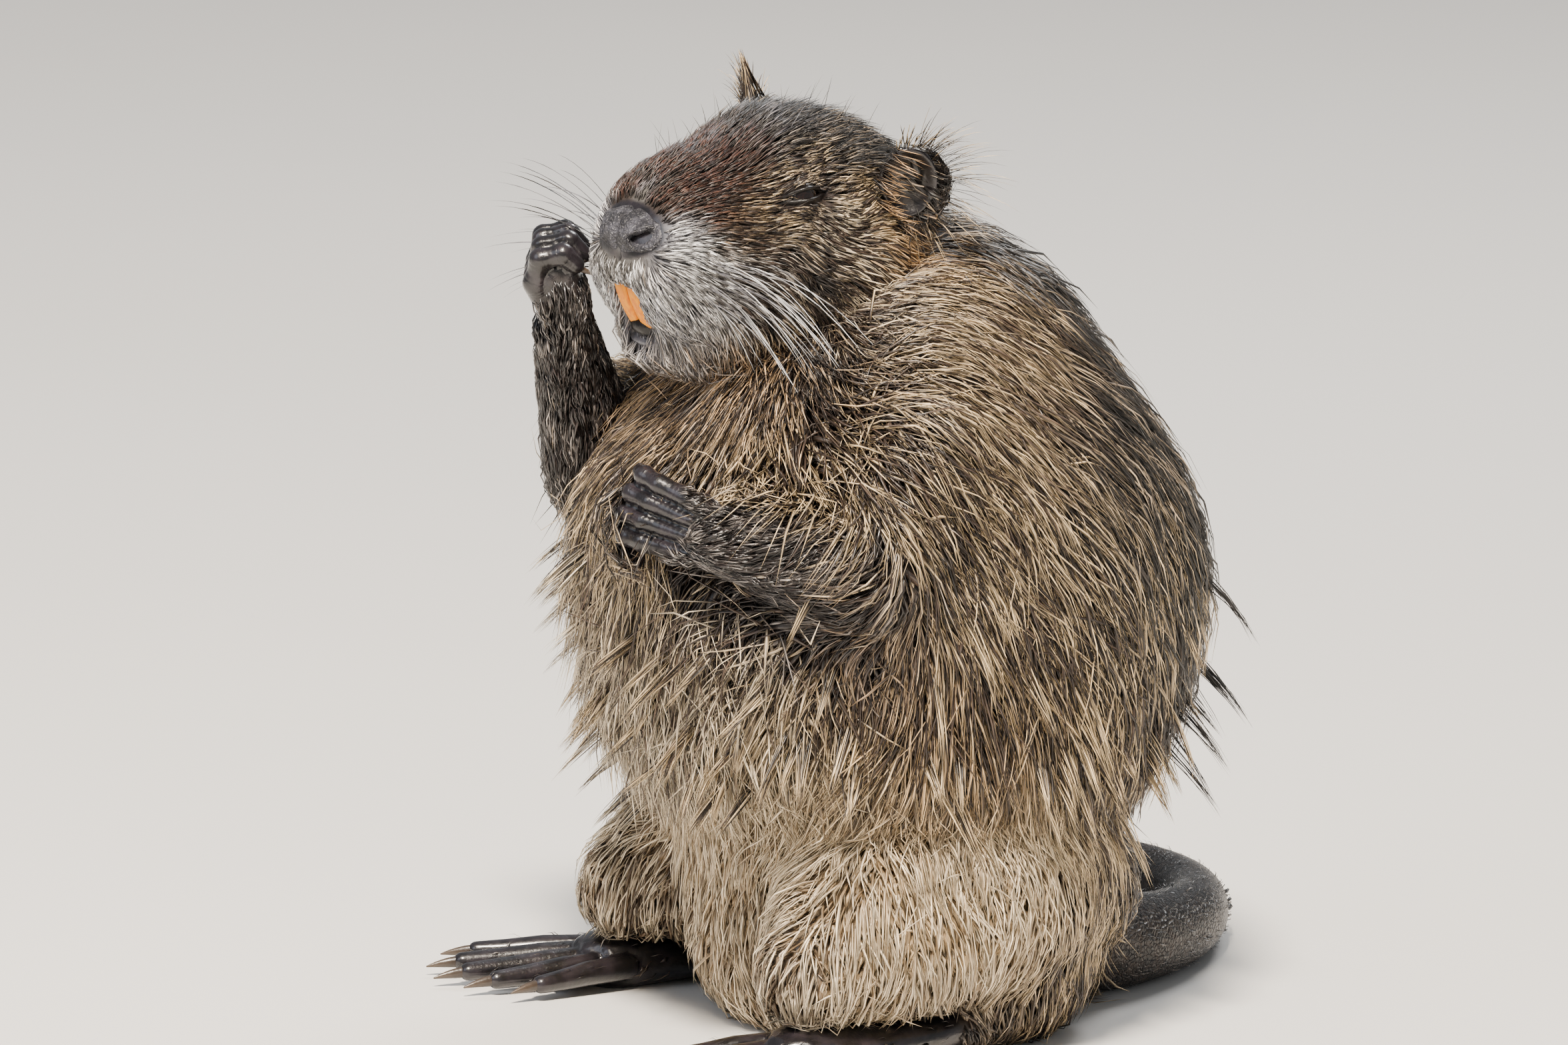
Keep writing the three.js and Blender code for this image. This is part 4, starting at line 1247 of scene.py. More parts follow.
def place_table():
    """Rows of place, lie, sizes and colours for both sides of the animal."""
    spots, lies, sizes, colours = [], [], [], []
    for side, own in ((1, LEFT_PLACES), (-1, RIGHT_PLACES)):
        for _, at, reach, lie, length, stand, clump, base, tip, pale in HEAD_PLACES:
            spots.append(on_head(np.array(at) * [side, 1, 1]))
            lies.append((np.array(lie) * [side, 1, 1]) @ HEAD_AXES)
            sizes.append([length, stand, clump, pale, reach])
            colours.append(colour_row(base, tip))
        for _, degrees, height, reach, turn, length, stand, clump, base, tip, pale in BODY_PLACES + own:
            spots.append(body_point(side * degrees, height))
            angle = np.radians(side * degrees)
            rearward = side * np.array([np.cos(angle), np.sin(angle), 0])
            t = np.radians(turn)
            lies.append(rearward * np.sin(t) - np.array([0, 0, np.cos(t)]))
            sizes.append([length, stand, clump, pale, reach])
            colours.append(colour_row(base, tip))
    return [np.array(rows, float) for rows in (spots, unit(np.array(lies)), sizes, colours)]


SPOTS, LIES, PLACE_SIZES, PLACE_COLOURS = place_table()
ARM_COLOURS = np.concatenate([linear(c) for c in ("#14100f", "#372d2a", "#a0968f")])
TAIL_LIES = unit(np.gradient(np.array(TAIL, float)[:, :3], axis=0))


def arm_share(points, name):
    """How far a point lies on the forearm, and how far down it, from 0 at the elbow to 1."""
    _, elbow, wrist = (np.array(p, float) for p in ARMS[name])
    palm = HAND_FRAMES[name].point([14, 0, -2])
    away = outside_line(points, [np.r_[elbow, 15.5], np.r_[wrist, 11.5], np.r_[palm, 13]])
    way = wrist - elbow
    down = (points - elbow) @ way / (way @ way)
    on_arm = (1 - smooth(away, 1.5, 6)) * smooth(down, -0.25, 0.15)
    if name == "right":
        on_arm = on_arm * off_head(points)
    return on_arm, np.clip(down, 0, 1)


SWIRL_SEED, COAT_SEED = 7, 1848
WAVES = np.random.default_rng(SWIRL_SEED).normal(0, 1, (2, 8, 3))


def drift(points):
    """A slow swirl of the lie: eight sine waves of 25 to 60 mm, each pushing its own way."""
    ways, pushes = WAVES
    phase = points @ (unit(ways) * 2 * np.pi / np.linspace(25, 60, 8)[:, None]).T + np.arange(8)
    return np.sin(phase) @ pushes * 0.09


def coat_at(points):
    """The mixture of places at each point: weights fall as e to minus distance over reach squared,
    and the forearms, hands, tail and feet then lay their own short dark hair over it."""
    weights = np.empty((len(points), len(SPOTS)))
    for k, (spot, size) in enumerate(zip(SPOTS, PLACE_SIZES)):
        away = ((points - spot) ** 2).sum(1)
        weights[:, k] = np.exp(-np.minimum(away / size[REACH] ** 2, 60)) + 1e-9 / (away + 1)
    weights /= weights.sum(1, keepdims=True)
    masks = part_masks(points)
    lie = weights @ LIES + drift(points) * (1 - 0.5 * masks["head"][:, None])
    sizes = weights @ PLACE_SIZES[:, :4]
    colours = weights @ PLACE_COLOURS
    for name, towards in (("left", 1), ("right", -1)):
        on_arm, down = arm_share(points, name)
        elbow, wrist = (np.array(p, float) for p in ARMS[name][1:])
        arm_lie = unit(wrist - elbow) * towards + drift(points) - np.array([0, 0, 0.35])
        short = np.stack([17 - 8 * down, 0.45 - 0.2 * down, 0.9 - 0.2 * down, 0.26 - 0.1 * down], 1)
        share = on_arm[:, None]
        lie = lie * (1 - share) + arm_lie * share
        sizes = sizes * (1 - share) + short * share
        colours = colours * (1 - share) + ARM_COLOURS * share
    nearest = np.argmin([((points - row[:3]) ** 2).sum(1) for row in np.array(TAIL)], axis=0)
    tail, feet = masks["tail"][:, None], masks["feet"][:, None]
    lie = lie * (1 - tail) + TAIL_LIES[nearest] * tail
    lie = lie * (1 - feet) + np.array([0, -1.0, -0.2]) * feet
    ends = np.clip(masks["feet"] + masks["tail"] + masks["hands"], 0, 1)[:, None]
    sizes = sizes * (1 - ends) + np.array([5.0, 0.25, 0.1, 0.3]) * ends
    colours = colours * (1 - ends) + ARM_COLOURS * ends
    return lie, sizes, colours, masks


def ear_distance(points):
    """Distance outside the bowl of the nearer ear, whose back counts as outside."""
    best = np.full(len(points), 1e3)
    for side in SIDES.values():
        centre, axes = ear_frame(side)
        local = (points - centre) @ axes.T
        round_it = np.linalg.norm(local / [5.5, EAR["half"][0] + 1, EAR["half"][1] + 1], axis=1)
        best = np.minimum(best, (round_it - 1) * 6 + 6 * (local[:, 0] * side < -0.5))
    return best


def eye_slit(points):
    """Distance from the nearer eye's slit, as a share of the slit's half length and half width."""
    best = np.full(len(points), 1e3)
    for side in SIDES.values():
        centre, along, up, out = eye_frame(side)
        away = points - centre
        share = np.hypot(away @ along / 7.6, (away @ up + 0.3) / 2.6) + 9 * (away @ out < -6)
        best = np.minimum(best, share)
    return best


def around_nose(local):
    """Distance from the middle of the nose pad, as a share of its half size."""
    away = local - [0, NOSE["back"], NOSE["up"]]
    return np.linalg.norm(away / (np.array(NOSE["half"]) + 0.8), axis=1)


def in_slot(local, aside, bottom, top, behind):
    """1 in the slot of the front teeth: the limits fade it at its sides, ends and depth."""
    inside = (1 - smooth(np.abs(local[:, 0]), *aside)) * smooth(local[:, 2], *bottom)
    inside *= (1 - smooth(local[:, 2], *top)) * (1 - smooth(local[:, 1], *behind))
    return inside


points = points_of(skin.data)
_, _, colours, masks = coat_at(points)
ears = 1 - smooth(ear_distance(points), -0.5, 1.5)
local = in_head(points)
near_nose = 1 - smooth(around_nose(local), 1.0, 1.12)
lids = 1 - smooth(eye_slit(points), 1.05, 1.4)
slot_depth = in_slot(local, (6, 7.5), (-31.5, -30), (-13, -11), (16, 19))
bare = masks["hands"] + masks["feet"] + masks["tail"] + 0.9 * ears + near_nose + slot_depth
bare = np.maximum(np.clip(bare, 0, 1), lids)
under_colour = colours[:, :3] * 0.7 + colours[:, 3:6] * 0.3
skin.data.materials.append(skin_material)
store(skin, "digit", nearest_digit(points)[3] * masks["hands"])
# Painted shade for the skin's finish: the eye slits, the teeth slot and the ear bowls are kept as one
# share, which is darkened to near black there.
ear_bowl = 0.95 * (1 - smooth(ear_distance(points), -3.2, -0.6))
store(skin, "deep", np.clip(lids + slot_depth + ear_bowl, 0, 1))
pad = HAND_FRAMES["right"].point(CARPAL_PAD["right"][-1][0])
store(skin, "pinkish", 1 - smooth(np.linalg.norm(points - pad, axis=1), 2.6, 4.6))
store(skin, "bare", bare)
store(skin, "scaly", masks["tail"])
store(skin, "base_colour", np.column_stack([under_colour, np.ones(len(points))]), "FLOAT_COLOR")
own_pieces = ("eye", "incisor", "nose")
flesh_nodes = [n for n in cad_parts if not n.startswith(own_pieces) and "claw" not in n]
settle(skin, "bare_skin", *flesh_nodes)
print("skin stands for", len(flesh_nodes), "solid parts")

# %% [markdown]
# ## Combing the tufts
#
# Each tuft is a thin closed blade with three sides, wide at the root and drawn to a point, that
# follows the skin under it. It could be a hair curve, but meshes keep their look in any program.
# Roots are spread over the skin by area and density. Each tuft then walks along the lie of the
# coat in short steps, asks for the nearest skin and its outward direction at each step, and rises
# off it by its stand-off. Wet hair clings together, so tufts near one another lean on one guide
# and share its point.

# %% Spreading roots and finding the skin
rng = np.random.default_rng(COAT_SEED)


def onto_skin(points):
    """The nearest places on the skin and the outward directions there, from Blender's Shrinkwrap
    at no offset and at a small one."""
    found = []
    for offset in (0.0, 4.0):
        probe = new_piece("probe", points, np.zeros((0, 3), int))
        wrap = probe.modifiers.new("wrap", "SHRINKWRAP")
        wrap.target = skin
        wrap.wrap_method = "NEAREST_SURFACEPOINT"
        wrap.wrap_mode = "ABOVE_SURFACE"
        wrap.offset = offset * MM
        finished_mesh(probe)
        found.append(points_of(probe.data))
        bpy.data.meshes.remove(probe.data)
    return found[0], unit(found[1] - found[0])


def spread_roots(count, density):
    """Random places on the skin: triangles are drawn by area times density at their middle."""
    mesh = skin.data
    mesh.calc_loop_triangles()
    corners = values_of(mesh.loop_triangles, "vertices", 3, np.int32)
    points = points_of(mesh)
    a, b, c = (points[corners[:, k]] for k in range(3))
    size = np.linalg.norm(np.cross(b - a, c - a), axis=1)
    middle = (a + b + c) / 3
    size = size * density(middle)
    picked = rng.choice(len(size), count, p=size / size.sum())
    u, v = rng.random((2, count, 1))
    u, v = np.where(u + v > 1, 1 - u, u), np.where(u + v > 1, 1 - v, v)
    return a[picked] + u * (b - a)[picked] + v * (c - a)[picked]


def nearest_of(points, others):
    """Index of the nearest of the others to each point, worked out in blocks."""
    found = np.empty(len(points), int)
    square = (others**2).sum(1)
    for start in range(0, len(points), 4000):
        block = slice(start, start + 4000)
        found[block] = np.argmin(square - 2 * points[block] @ others.T, axis=1)
    return found


def walk(roots, normals, steps, spread, gain=1.0):
    """The line of each tuft: steps along the lie, each put back over the skin at its height."""
    lie, sizes, colours, _ = coat_at(roots)
    colours = coat_at(roots + rng.normal(0, 0.22, (len(roots), 3)) * sizes[:, :1])[2]
    length = sizes[:, LENGTH] * gain * rng.uniform(0.7, 1.25, len(roots))
    stand = sizes[:, STAND] * rng.uniform(0.5, 1.5, len(roots))
    wander = rng.normal(0, spread, (len(roots), 3)) * (0.4 + sizes[:, CLUMP : CLUMP + 1])
    at, normal = roots, normals
    heading = unit(lie + wander)
    line = [roots - normals * 0.6]
    for k in range(1, steps + 1):
        heading = unit(heading - normal * dot(heading, normal))
        under, normal = onto_skin(at + heading * (length / steps)[:, None])
        t = k / steps
        height = length * stand * t**1.2 * 0.55 + length * 0.09 * np.sin(np.pi * t) + 0.25
        line.append(under + normal * height[:, None])
        at = under
        heading = unit(heading * 0.55 + unit(coat_at(under)[0] + wander * 0.7) * 0.45)
    return np.stack(line, 1), sizes, colours


# %% Clumping and building
def gather(line, guide_line, guide_of, clump):
    """Draws each line towards its guide's, more and more towards the tip."""
    t = np.linspace(0, 1, line.shape[1])[None, :, None]
    pull = clump[:, None, None] * smooth(t, 0.1, 1.0)
    shift = guide_line[guide_of] - line
    near = 1 - smooth(np.linalg.norm(shift[:, -1], axis=1), 9, 16)[:, None, None]
    return line + shift * pull * near


def blades(line, normals, width):
    """Closed blades along the lines: three points round each stop, one above and two beside it,
    and one point at the tip. A blade is widest at a third of its length."""
    count, stops = line.shape[:2]
    along = unit(np.gradient(line, axis=1))
    side = unit(np.cross(along, normals[:, None]))
    up = np.cross(side, along)
    t = np.linspace(0, 1, stops)[:-1]
    share = (0.72 + 1.4 * t) * (1 - t**1.4) / 0.95
    w = width[:, None, None] * share[None, :, None] / 2
    body, s, u = line[:, :-1], side[:, :-1], up[:, :-1]
    points = np.stack([body - s * w, body + s * w, body + u * w * 0.8], axis=2).reshape(count, -1, 3)
    points = np.concatenate([points, line[:, -1:]], axis=1)
    one = [[0, 2, 1]]
    for k in range(0, 3 * (stops - 2), 3):
        for i, j in ((0, 1), (1, 2), (2, 0)):
            one += [[k + i, k + j, k + 3 + j], [k + i, k + 3 + j, k + 3 + i]]
    last = 3 * (stops - 2)
    one += [[last + i, last + j, last + 3] for i, j in ((0, 1), (1, 2), (2, 0))]
    per = points.shape[1]
    faces = (np.arange(count) * per)[:, None, None] + np.array(one)
    return points.reshape(-1, 3), faces.reshape(-1, 3), per


# %% [markdown]
# ## Growing the coat
#
# The coat is grown in pieces, each over one part of the animal, so that none is too heavy to
# handle. The tufts get shorter and finer towards the face. Every tuft also gets a patch of its own
# on a map named OFBake: the skin is unwrapped by angle and height round its part, and each patch
# is set at its root's place there, in rows that keep any two from lying on each other.

# %% One piece of the coat
PATCH = 0.003  # side of a tuft's patch on its map, of the whole map's side
TONES = (0.66, 1.34)
HAIR_MM = 0.28  # the single hairs seen within a tuft
HAIR_CHANGE_MM = 14  # length over which a single hair changes its tone


def spaced_places(u, v):
    """Evens out places on an unwrap: rows by height, and within a row, columns by angle."""
    rows = int(np.ceil(np.sqrt(len(u))))
    order = np.argsort(v, kind="stable")
    row = np.empty(len(u), int)
    row[order] = np.arange(len(u)) // rows
    order = np.lexsort((u, row))
    column = np.empty(len(u), int)
    column[order] = np.arange(len(u)) % rows
    return np.stack([(column + 0.5) / rows, (row + 0.5) / rows], 1)


def unwrap(piece, roots, per, along, across):
    """The OFBake map: angle round an upright axis and height give a root's place, and the tuft's
    points lie across its patch, root to tip from bottom to top."""
    middle = roots.mean(0)
    angle = np.arctan2(roots[:, 0] - middle[0], -(roots[:, 1] - middle[1]))
    places = np.repeat(spaced_places(angle, roots[:, 2]), per, axis=0)
    places = places + np.stack([across - 0.5, along - 0.5], 1) * PATCH
    corners = values_of(piece.data.loops, "vertex_index", kind=np.int32).ravel()
    layer = piece.data.uv_layers.new(name="OFBake")
    layer.data.foreach_set("uv", places[corners].astype(np.float32).ravel())


def tuft_piece(name, line, normals, width, colours, pale, material):
    """Builds tufts along lines and keeps on them what the finish reads: how far along each point
    lies, where across it, the tone and the two end colours. A tuft that isn't pale shows its
    underfur colour at the tip, or stays nearly as dark as its root."""
    count, stops = line.shape[:2]
    points, faces, per = blades(line, normals, width)
    points[:, 2] = np.maximum(points[:, 2], 0.05)
    piece = new_piece(name, points, faces, [material])
    along = np.tile(np.r_[np.repeat(np.linspace(0, 1, stops)[:-1], 3), 1.0], count)
    across = np.tile(np.r_[np.tile([0.0, 1.0, 0.5], stops - 1), 0.5], count)
    lit = (rng.random(count) < pale)[:, None]
    shade = rng.uniform(0.7, 1.0, (count, 1))
    dull = rng.uniform(0.1, 1.0, (count, 1))
    root, under, tip = colours[:, :3], colours[:, 3:6], colours[:, 6:]
    tip = np.where(lit, under * (1 - shade) + tip * shade, root * (1 - dull) + under * dull)
    length = np.linalg.norm(np.diff(line, axis=1), axis=2).sum(1)
    beside = (across - 0.5) * np.repeat(width, per) / HAIR_MM
    apart = np.repeat(rng.uniform(0, 900, count), per)
    strand = np.stack([beside, apart, along * np.repeat(length, per) / HAIR_CHANGE_MM], 1)
    store(piece, "strand", strand, "FLOAT_VECTOR")
    store(piece, "along", along)
    store(piece, "tone", np.repeat(rng.uniform(*TONES, count), per))
    for key, colour in (("base_colour", root), ("tip_colour", tip)):
        opaque = np.column_stack([colour, np.ones(count)])
        store(piece, key, np.repeat(opaque, per, axis=0), "FLOAT_COLOR")
    unwrap(piece, line[:, 0], per, along, across)
    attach(piece, "root")
    print(name, len(faces), "triangles, length", round(float(np.median(length)), 1), "mm")


def grow(name, count, density, stops, width, material, spread=0.1, guides=0.1, gain=1.0, pale=1.0):
    """A piece of the coat: roots, walked lines, clumps and blades of mixed width."""
    roots, normals = onto_skin(spread_roots(count, density))
    line, sizes, colours = walk(roots, normals, stops - 1, spread, gain)
    chosen = rng.choice(count, max(2, int(count * guides)), replace=False)
    guide_of = nearest_of(roots, roots[chosen])
    line = gather(line, line[chosen], guide_of, sizes[:, CLUMP] * rng.uniform(0.55, 1.0, count))
    line[..., 2] = np.maximum(line[..., 2], 0.4)
    wide = width * np.exp(np.clip(rng.normal(0, 0.38, count), -0.7, 0.9))
    lock_pale = (rng.random(len(chosen))[guide_of] - 0.5) * 0.9
    share = sizes[:, PALE] * pale + lock_pale * pale
    tuft_piece(name, line, normals, wide, colours, share, material)


# %% Where each piece grows
def uncovered(points):
    """How thick the coat is: none on the bare parts, and thin inside the ears."""
    masks = part_masks(points)
    local = in_head(points)
    thick = smooth(eye_slit(points), 1.0, 1.25) * smooth(around_nose(local), 0.98, 1.03)
    thick *= 1 - np.clip(masks["hands"] * 1.2 + masks["feet"] + masks["tail"], 0, 1)
    thick *= 0.02 + 0.98 * smooth(ear_distance(points), -0.8, 0.4)
    slot = in_slot(local, (5.4, 6.4), (-30, -29), (-13, -12), (15, 18))
    return thick * (1 - slot) * (points[:, 2] > 2.0), masks, local


def head_density(low, high, below=1e3, above=-1e3):
    """Thick coat on the head, between two distances back from the nose and two heights."""

    def density(points):
        thick, masks, local = uncovered(points)
        inside = (local[:, 1] > low) & (local[:, 1] <= high)
        inside &= (local[:, 2] < below) & (local[:, 2] >= above)
        return thick * masks["head"] * inside * (1.0 + 0.8 * (local[:, 1] < 30))

    return density


def on_forearms(points):
    return np.max([arm_share(points, n)[0] for n in SIDES], axis=0)


def body_density(low_angle, high_angle, low=-1e3, high=1e3, side=0):
    """Thick coat between two angles from the breast and two heights, on one side or both."""

    def density(points):
        thick, masks, _ = uncovered(points)
        angle = np.degrees(np.arctan2(points[:, 0], -points[:, 1]))
        chosen = (np.abs(angle) >= low_angle) & (np.abs(angle) < high_angle)
        chosen &= (points[:, 2] >= low) & (points[:, 2] < high) & (angle * side >= 0)
        return thick * (1 - masks["head"]) * chosen * (1 - 0.95 * on_forearms(points))

    return density


def arm_density(points):
    thick, masks, _ = uncovered(points)
    return thick * (1 - masks["head"]) * on_forearms(points)


def bristle_density(points):
    masks = part_masks(points)
    return np.clip(masks["tail"] + 0.5 * masks["feet"] * (points[:, 2] > 6), 0, 1) * (points[:, 2] > 2)


def stray_density(points):
    thick, masks, _ = uncovered(points)
    return thick * (1 + masks["head"]) * (1 - on_forearms(points))


# %% Grow the underfur and the guard hair
grow("underfur_front", 9_500, body_density(0, 90), 3, 1.6, guard_hair, 0.3, 0.2, 0.55, 0.3)
grow("underfur_back", 9_500, body_density(90, 181), 3, 1.7, guard_hair, 0.3, 0.2, 0.5, 0.3)
grow("coat_face", 15_500, head_density(-99, 46), 3, 0.42, face_hair, 0.16, 0.12, 1.15)
grow("coat_crown", 10_500, head_density(46, 199, above=6), 3, 0.46, face_hair, 0.26, 0.12, 1.15)
grow("coat_cheeks", 9_000, head_density(46, 199, below=6), 4, 0.5, guard_hair, 0.22, 0.1, 1.1)
grow("coat_breast", 9_000, body_density(0, 50, 75), 4, 0.6, guard_hair, 0.3, 0.07)
for name, side in SIDES.items():
    grow(f"coat_flank_{name}", 9_500, body_density(50, 118, 75, side=side), 4, 0.6, guard_hair, 0.2, 0.06)
grow("coat_back", 8_500, body_density(118, 181, 75), 4, 0.75, guard_hair, 0.2, 0.06)
grow("coat_haunches", 8_500, body_density(0, 181, -1, 75), 4, 0.68, guard_hair, 0.2, 0.07)
grow("coat_arms", 8_000, arm_density, 3, 0.6, soaked_hair, 0.2, 0.05)
grow("coat_bristles", 900, bristle_density, 3, 0.22, soaked_hair, 0.2, 0.9)
grow("stray_hairs", 1_700, stray_density, 4, 0.2, guard_hair, 0.35, 0.9, 1.1, 1.6)

# %% [markdown]
# ## Whiskers, ear fringes and wet locks
#
# Some hair does more than cover. Whiskers are stiff and as thick as thread, white on the left side
# of the face and mostly dark on the right. The ears carry a pale fringe, and water has drawn the
# hair of one of them up to a point. On the belly, breast, flanks and rump it has drawn the coat
# into locks that stand off and end in one point. All are lines from a root to a tip with a sag
# between, built as the other tufts are.

# %% Lines from root to tip
WHISKERS = 28  # four rows of seven on each side
BROW_HAIRS = 90


def sweep(roots, tips, sag, stops):
    """Lines from roots to tips, moved by the sag times 4t(1 - t) in between."""
    t = np.linspace(0, 1, stops)[None, :, None]
    return roots[:, None] * (1 - t) + tips[:, None] * t + sag[:, None] * 4 * t * (1 - t)


def colour_rows(base, tip, count):
    return np.repeat(colour_row(base, tip)[None], count, axis=0)


def whisker_set(side, heading, fan, length, sag):
    """Four rows of seven whiskers from the pad beside the nose: the fan turns each away from the
    common heading by how far up and forward on the pad it stands."""
    columns, rows = (np.linspace(1, -1, number) for number in (7, 4))
    forward, high = (share.ravel() for share in np.meshgrid(columns, rows))
    place = np.stack([side * (25 + 0 * high), 17 - 8 * forward, -8 + 6 * high], 1)
    place += rng.normal(0, 0.7, (WHISKERS, 3))
    roots, normals = onto_skin(on_head(place))
    ways = np.array(heading) * [side, 1, 1] + fan * np.stack([0 * high, -forward, high], 1)
    ways = unit(ways + rng.normal(0, 0.06, (WHISKERS, 3))) @ HEAD_AXES
    reach = length * rng.uniform(0.55, 1.1, (WHISKERS, 1)) * (1 - 0.2 * forward[:, None])
    down = np.array([0, 0, -1.0]) * reach * sag
    return sweep(roots - normals * 0.5, roots + ways * reach + down, -down * 0.8, 10), normals


def brow_set():
    """Fine dark hairs that stand up from the bridge, brow and crown."""
    place = rng.uniform([-20, 18, 26], [20, 98, 44], (BROW_HAIRS, 3))
    roots, normals = onto_skin(on_head(place))
    ways = unit(normals + rng.normal(0, 0.35, (BROW_HAIRS, 3)) + HEAD_BACK * 0.2)
    reach = rng.uniform(6, 17, (BROW_HAIRS, 1))
    return sweep(roots, roots + ways * reach, HEAD_UP * reach * 0.06, 6), normals


def hairs(name, drawn, width, base, tip, pale, material):
    """A piece of separate hairs, of one width or of widths drawn between two."""
    lines, normals = drawn
    count = len(lines)
    wide = rng.uniform(*width, count) if isinstance(width, tuple) else np.full(count, width)
    tuft_piece(name, lines, normals, wide, colour_rows(base, tip, count), pale, material)


near_set = whisker_set(1, [0.42, 0.72, -0.5], 0.1, 60, 0.22)
far_set = whisker_set(-1, [0.95, -0.15, 0.12], 0.3, 52, 0.1)
hairs("whiskers_left", near_set, 0.36, "grey", "ivory", 1.0, whisker_keratin)
hairs("whiskers_right", far_set, 0.45, "black", "grey", 0.55, whisker_keratin)
hairs("brow_hairs", brow_set(), 0.2, "black", "grey", 0.2, face_hair)


# %% Ear fringes
def rim_points(from_degrees, to_degrees, count):
    """Random angles round the ear, and the points of its oval rim there, in the ear's own axes."""
    turn = np.radians(rng.uniform(from_degrees, to_degrees, count))
    back, up = EAR["half"]
    return turn, np.stack([0 * turn, np.cos(turn) * back, np.sin(turn) * up], 1)


def ear_fringe(side, count=150):
    """Hairs from the rear half of the rim, each out from the ear's middle and a little back."""
    centre, axes = ear_frame(side)
    turn, rim = rim_points(-75, 125, count)
    out = unit(rim) + rng.normal(0, 0.22, (count, 3)) + [side * 0.45, 0.35, 0]
    place = rim * rng.uniform(0.88, 1.02, (count, 1)) + [side * 2.0, 0, 0]
    reach = rng.uniform(12, 28, (count, 1)) * (0.55 + 0.45 * np.cos(turn)[:, None])
    roots, tips = centre + place @ axes, centre + (place + unit(out) * reach) @ axes
    return sweep(roots, tips, np.array([0, 0, 1.0]) * reach * 0.08, 6), unit(out @ axes)


def ear_front(side, count=60):
    """Hairs from the front of the rim that lie back over the bowl."""
    centre, axes = ear_frame(side)
    _, rim = rim_points(120, 265, count)
    place = rim * rng.uniform(0.95, 1.15, (count, 1)) + [side * 1.5, 0, 0]
    way = unit(rng.normal(0, 0.18, (count, 3)) + [side * 0.55, 0.9, -0.1])
    reach = rng.uniform(7, 14, (count, 1))
    roots, tips = centre + place @ axes, centre + (place + way * reach) @ axes
    normals = np.repeat([side * HEAD_LEFT], count, axis=0)
    return sweep(roots, tips, unit(way @ axes) * 0.2, 5), normals


def ear_point(side, count=90):
    """Hairs from the top of the rim, drawn to one wet point above it."""
    centre, axes = ear_frame(side)
    turn = np.radians(rng.uniform(35, 145, count))
    aside = 0 * turn + side * rng.uniform(-3, 3, count)
    place = np.stack([aside, np.cos(turn) * 9.5, np.sin(turn) * 12], 1)
    point = np.array([side * 1.0, -2.0, 28.0]) - [0, 0, 9] * rng.random((count, 1)) ** 2
    point = point + rng.normal(0, 0.5, (count, 3))
    roots, tips = centre + place @ axes, centre + point @ axes
    normals = unit(roots - centre + side * HEAD_LEFT * 9)
    return sweep(roots, tips, (centre - roots) * 0.12 + HEAD_UP * 1.5, 6), normals


for name, side in SIDES.items():
    hairs("ear_fringe_" + name, ear_fringe(side), (0.2, 0.45), "umber", "straw", 0.6, face_hair)
for name, side in SIDES.items():
    hairs("ear_front_" + name, ear_front(side), (0.25, 0.45), "umber", "gold", 0.75, face_hair)
hairs("ear_point", ear_point(-1), (0.3, 0.6), "umber", "straw", 0.4, face_hair)

# %% Wet locks
# side of the animal (0 for both), how many locks, degrees from and to, heights from and to, hairs
# in a lock, scatter of their roots, length, outwards, rearwards turn from and to, colours, pale share
LOCKS = [
    ["skirt", 0, 28, 0, 180, 100, 122, 16, 2.3, 25, 0.5, -12, 12, "umber", "straw", 0.8],
    ["front of the belly", 1, 22, 0, 60, 92, 146, 12, 1.3, 27, 0.6, -40, -8, "umber", "straw", 0.6],
    ["outline of the belly", -1, 34, 8, 62, 78, 165, 13, 1.5, 26, 0.8, -10, 20, "umber", "pale", 0.7],
    ["raised elbow", -1, 16, 42, 80, 160, 212, 12, 1.5, 26, 1.1, -25, 35, "umber", "pale", 0.7],
    ["breast", 0, 13, 5, 55, 160, 222, 12, 1.8, 24, 0.4, -30, 45, "umber", "straw", 0.6],
    ["rump", 0, 7, 136, 172, 95, 172, 18, 2.6, 33, 0.75, -15, 15, "black", "slate", 0.1],
    ["flank", 0, 16, 70, 135, 85, 165, 12, 1.8, 34, 0.25, 0, 30, "umber", "straw", 0.8],
]


def lock_lines(side, locks, degrees, heights, number, scatter, length, outward, turns):
    """Locks at random places of one side: the roots scatter round each place, and the tips meet
    near one point that lies outward, down and rearward of it."""
    angle = np.radians(rng.uniform(*degrees, locks)) * side
    height = rng.uniform(*heights, locks)
    turn = np.radians(rng.uniform(*turns, locks))[:, None]
    place = np.array([body_point(np.degrees(a), z) for a, z in zip(angle, height)])
    out = np.stack([np.sin(angle), -np.cos(angle), 0 * angle], 1)
    rearward = side * np.stack([np.cos(angle), np.sin(angle), 0 * angle], 1)
    way = unit(out * outward + rearward * np.sin(turn) - np.array([0, 0, 1.0]) * np.cos(turn))
    of = np.repeat(np.arange(locks), number)
    roots, normals = onto_skin(place[of] + rng.normal(0, scatter, (len(of), 3)))
    reach = length * rng.uniform(0.75, 1.2, locks)[of, None]
    tips = place[of] + way[of] * reach * rng.uniform(0.8, 1.0, (len(of), 1))
    tips = tips + rng.normal(0, 0.6, (len(of), 3))
    return sweep(roots - normals * 0.5, tips, normals * reach * 0.07, 5), normals


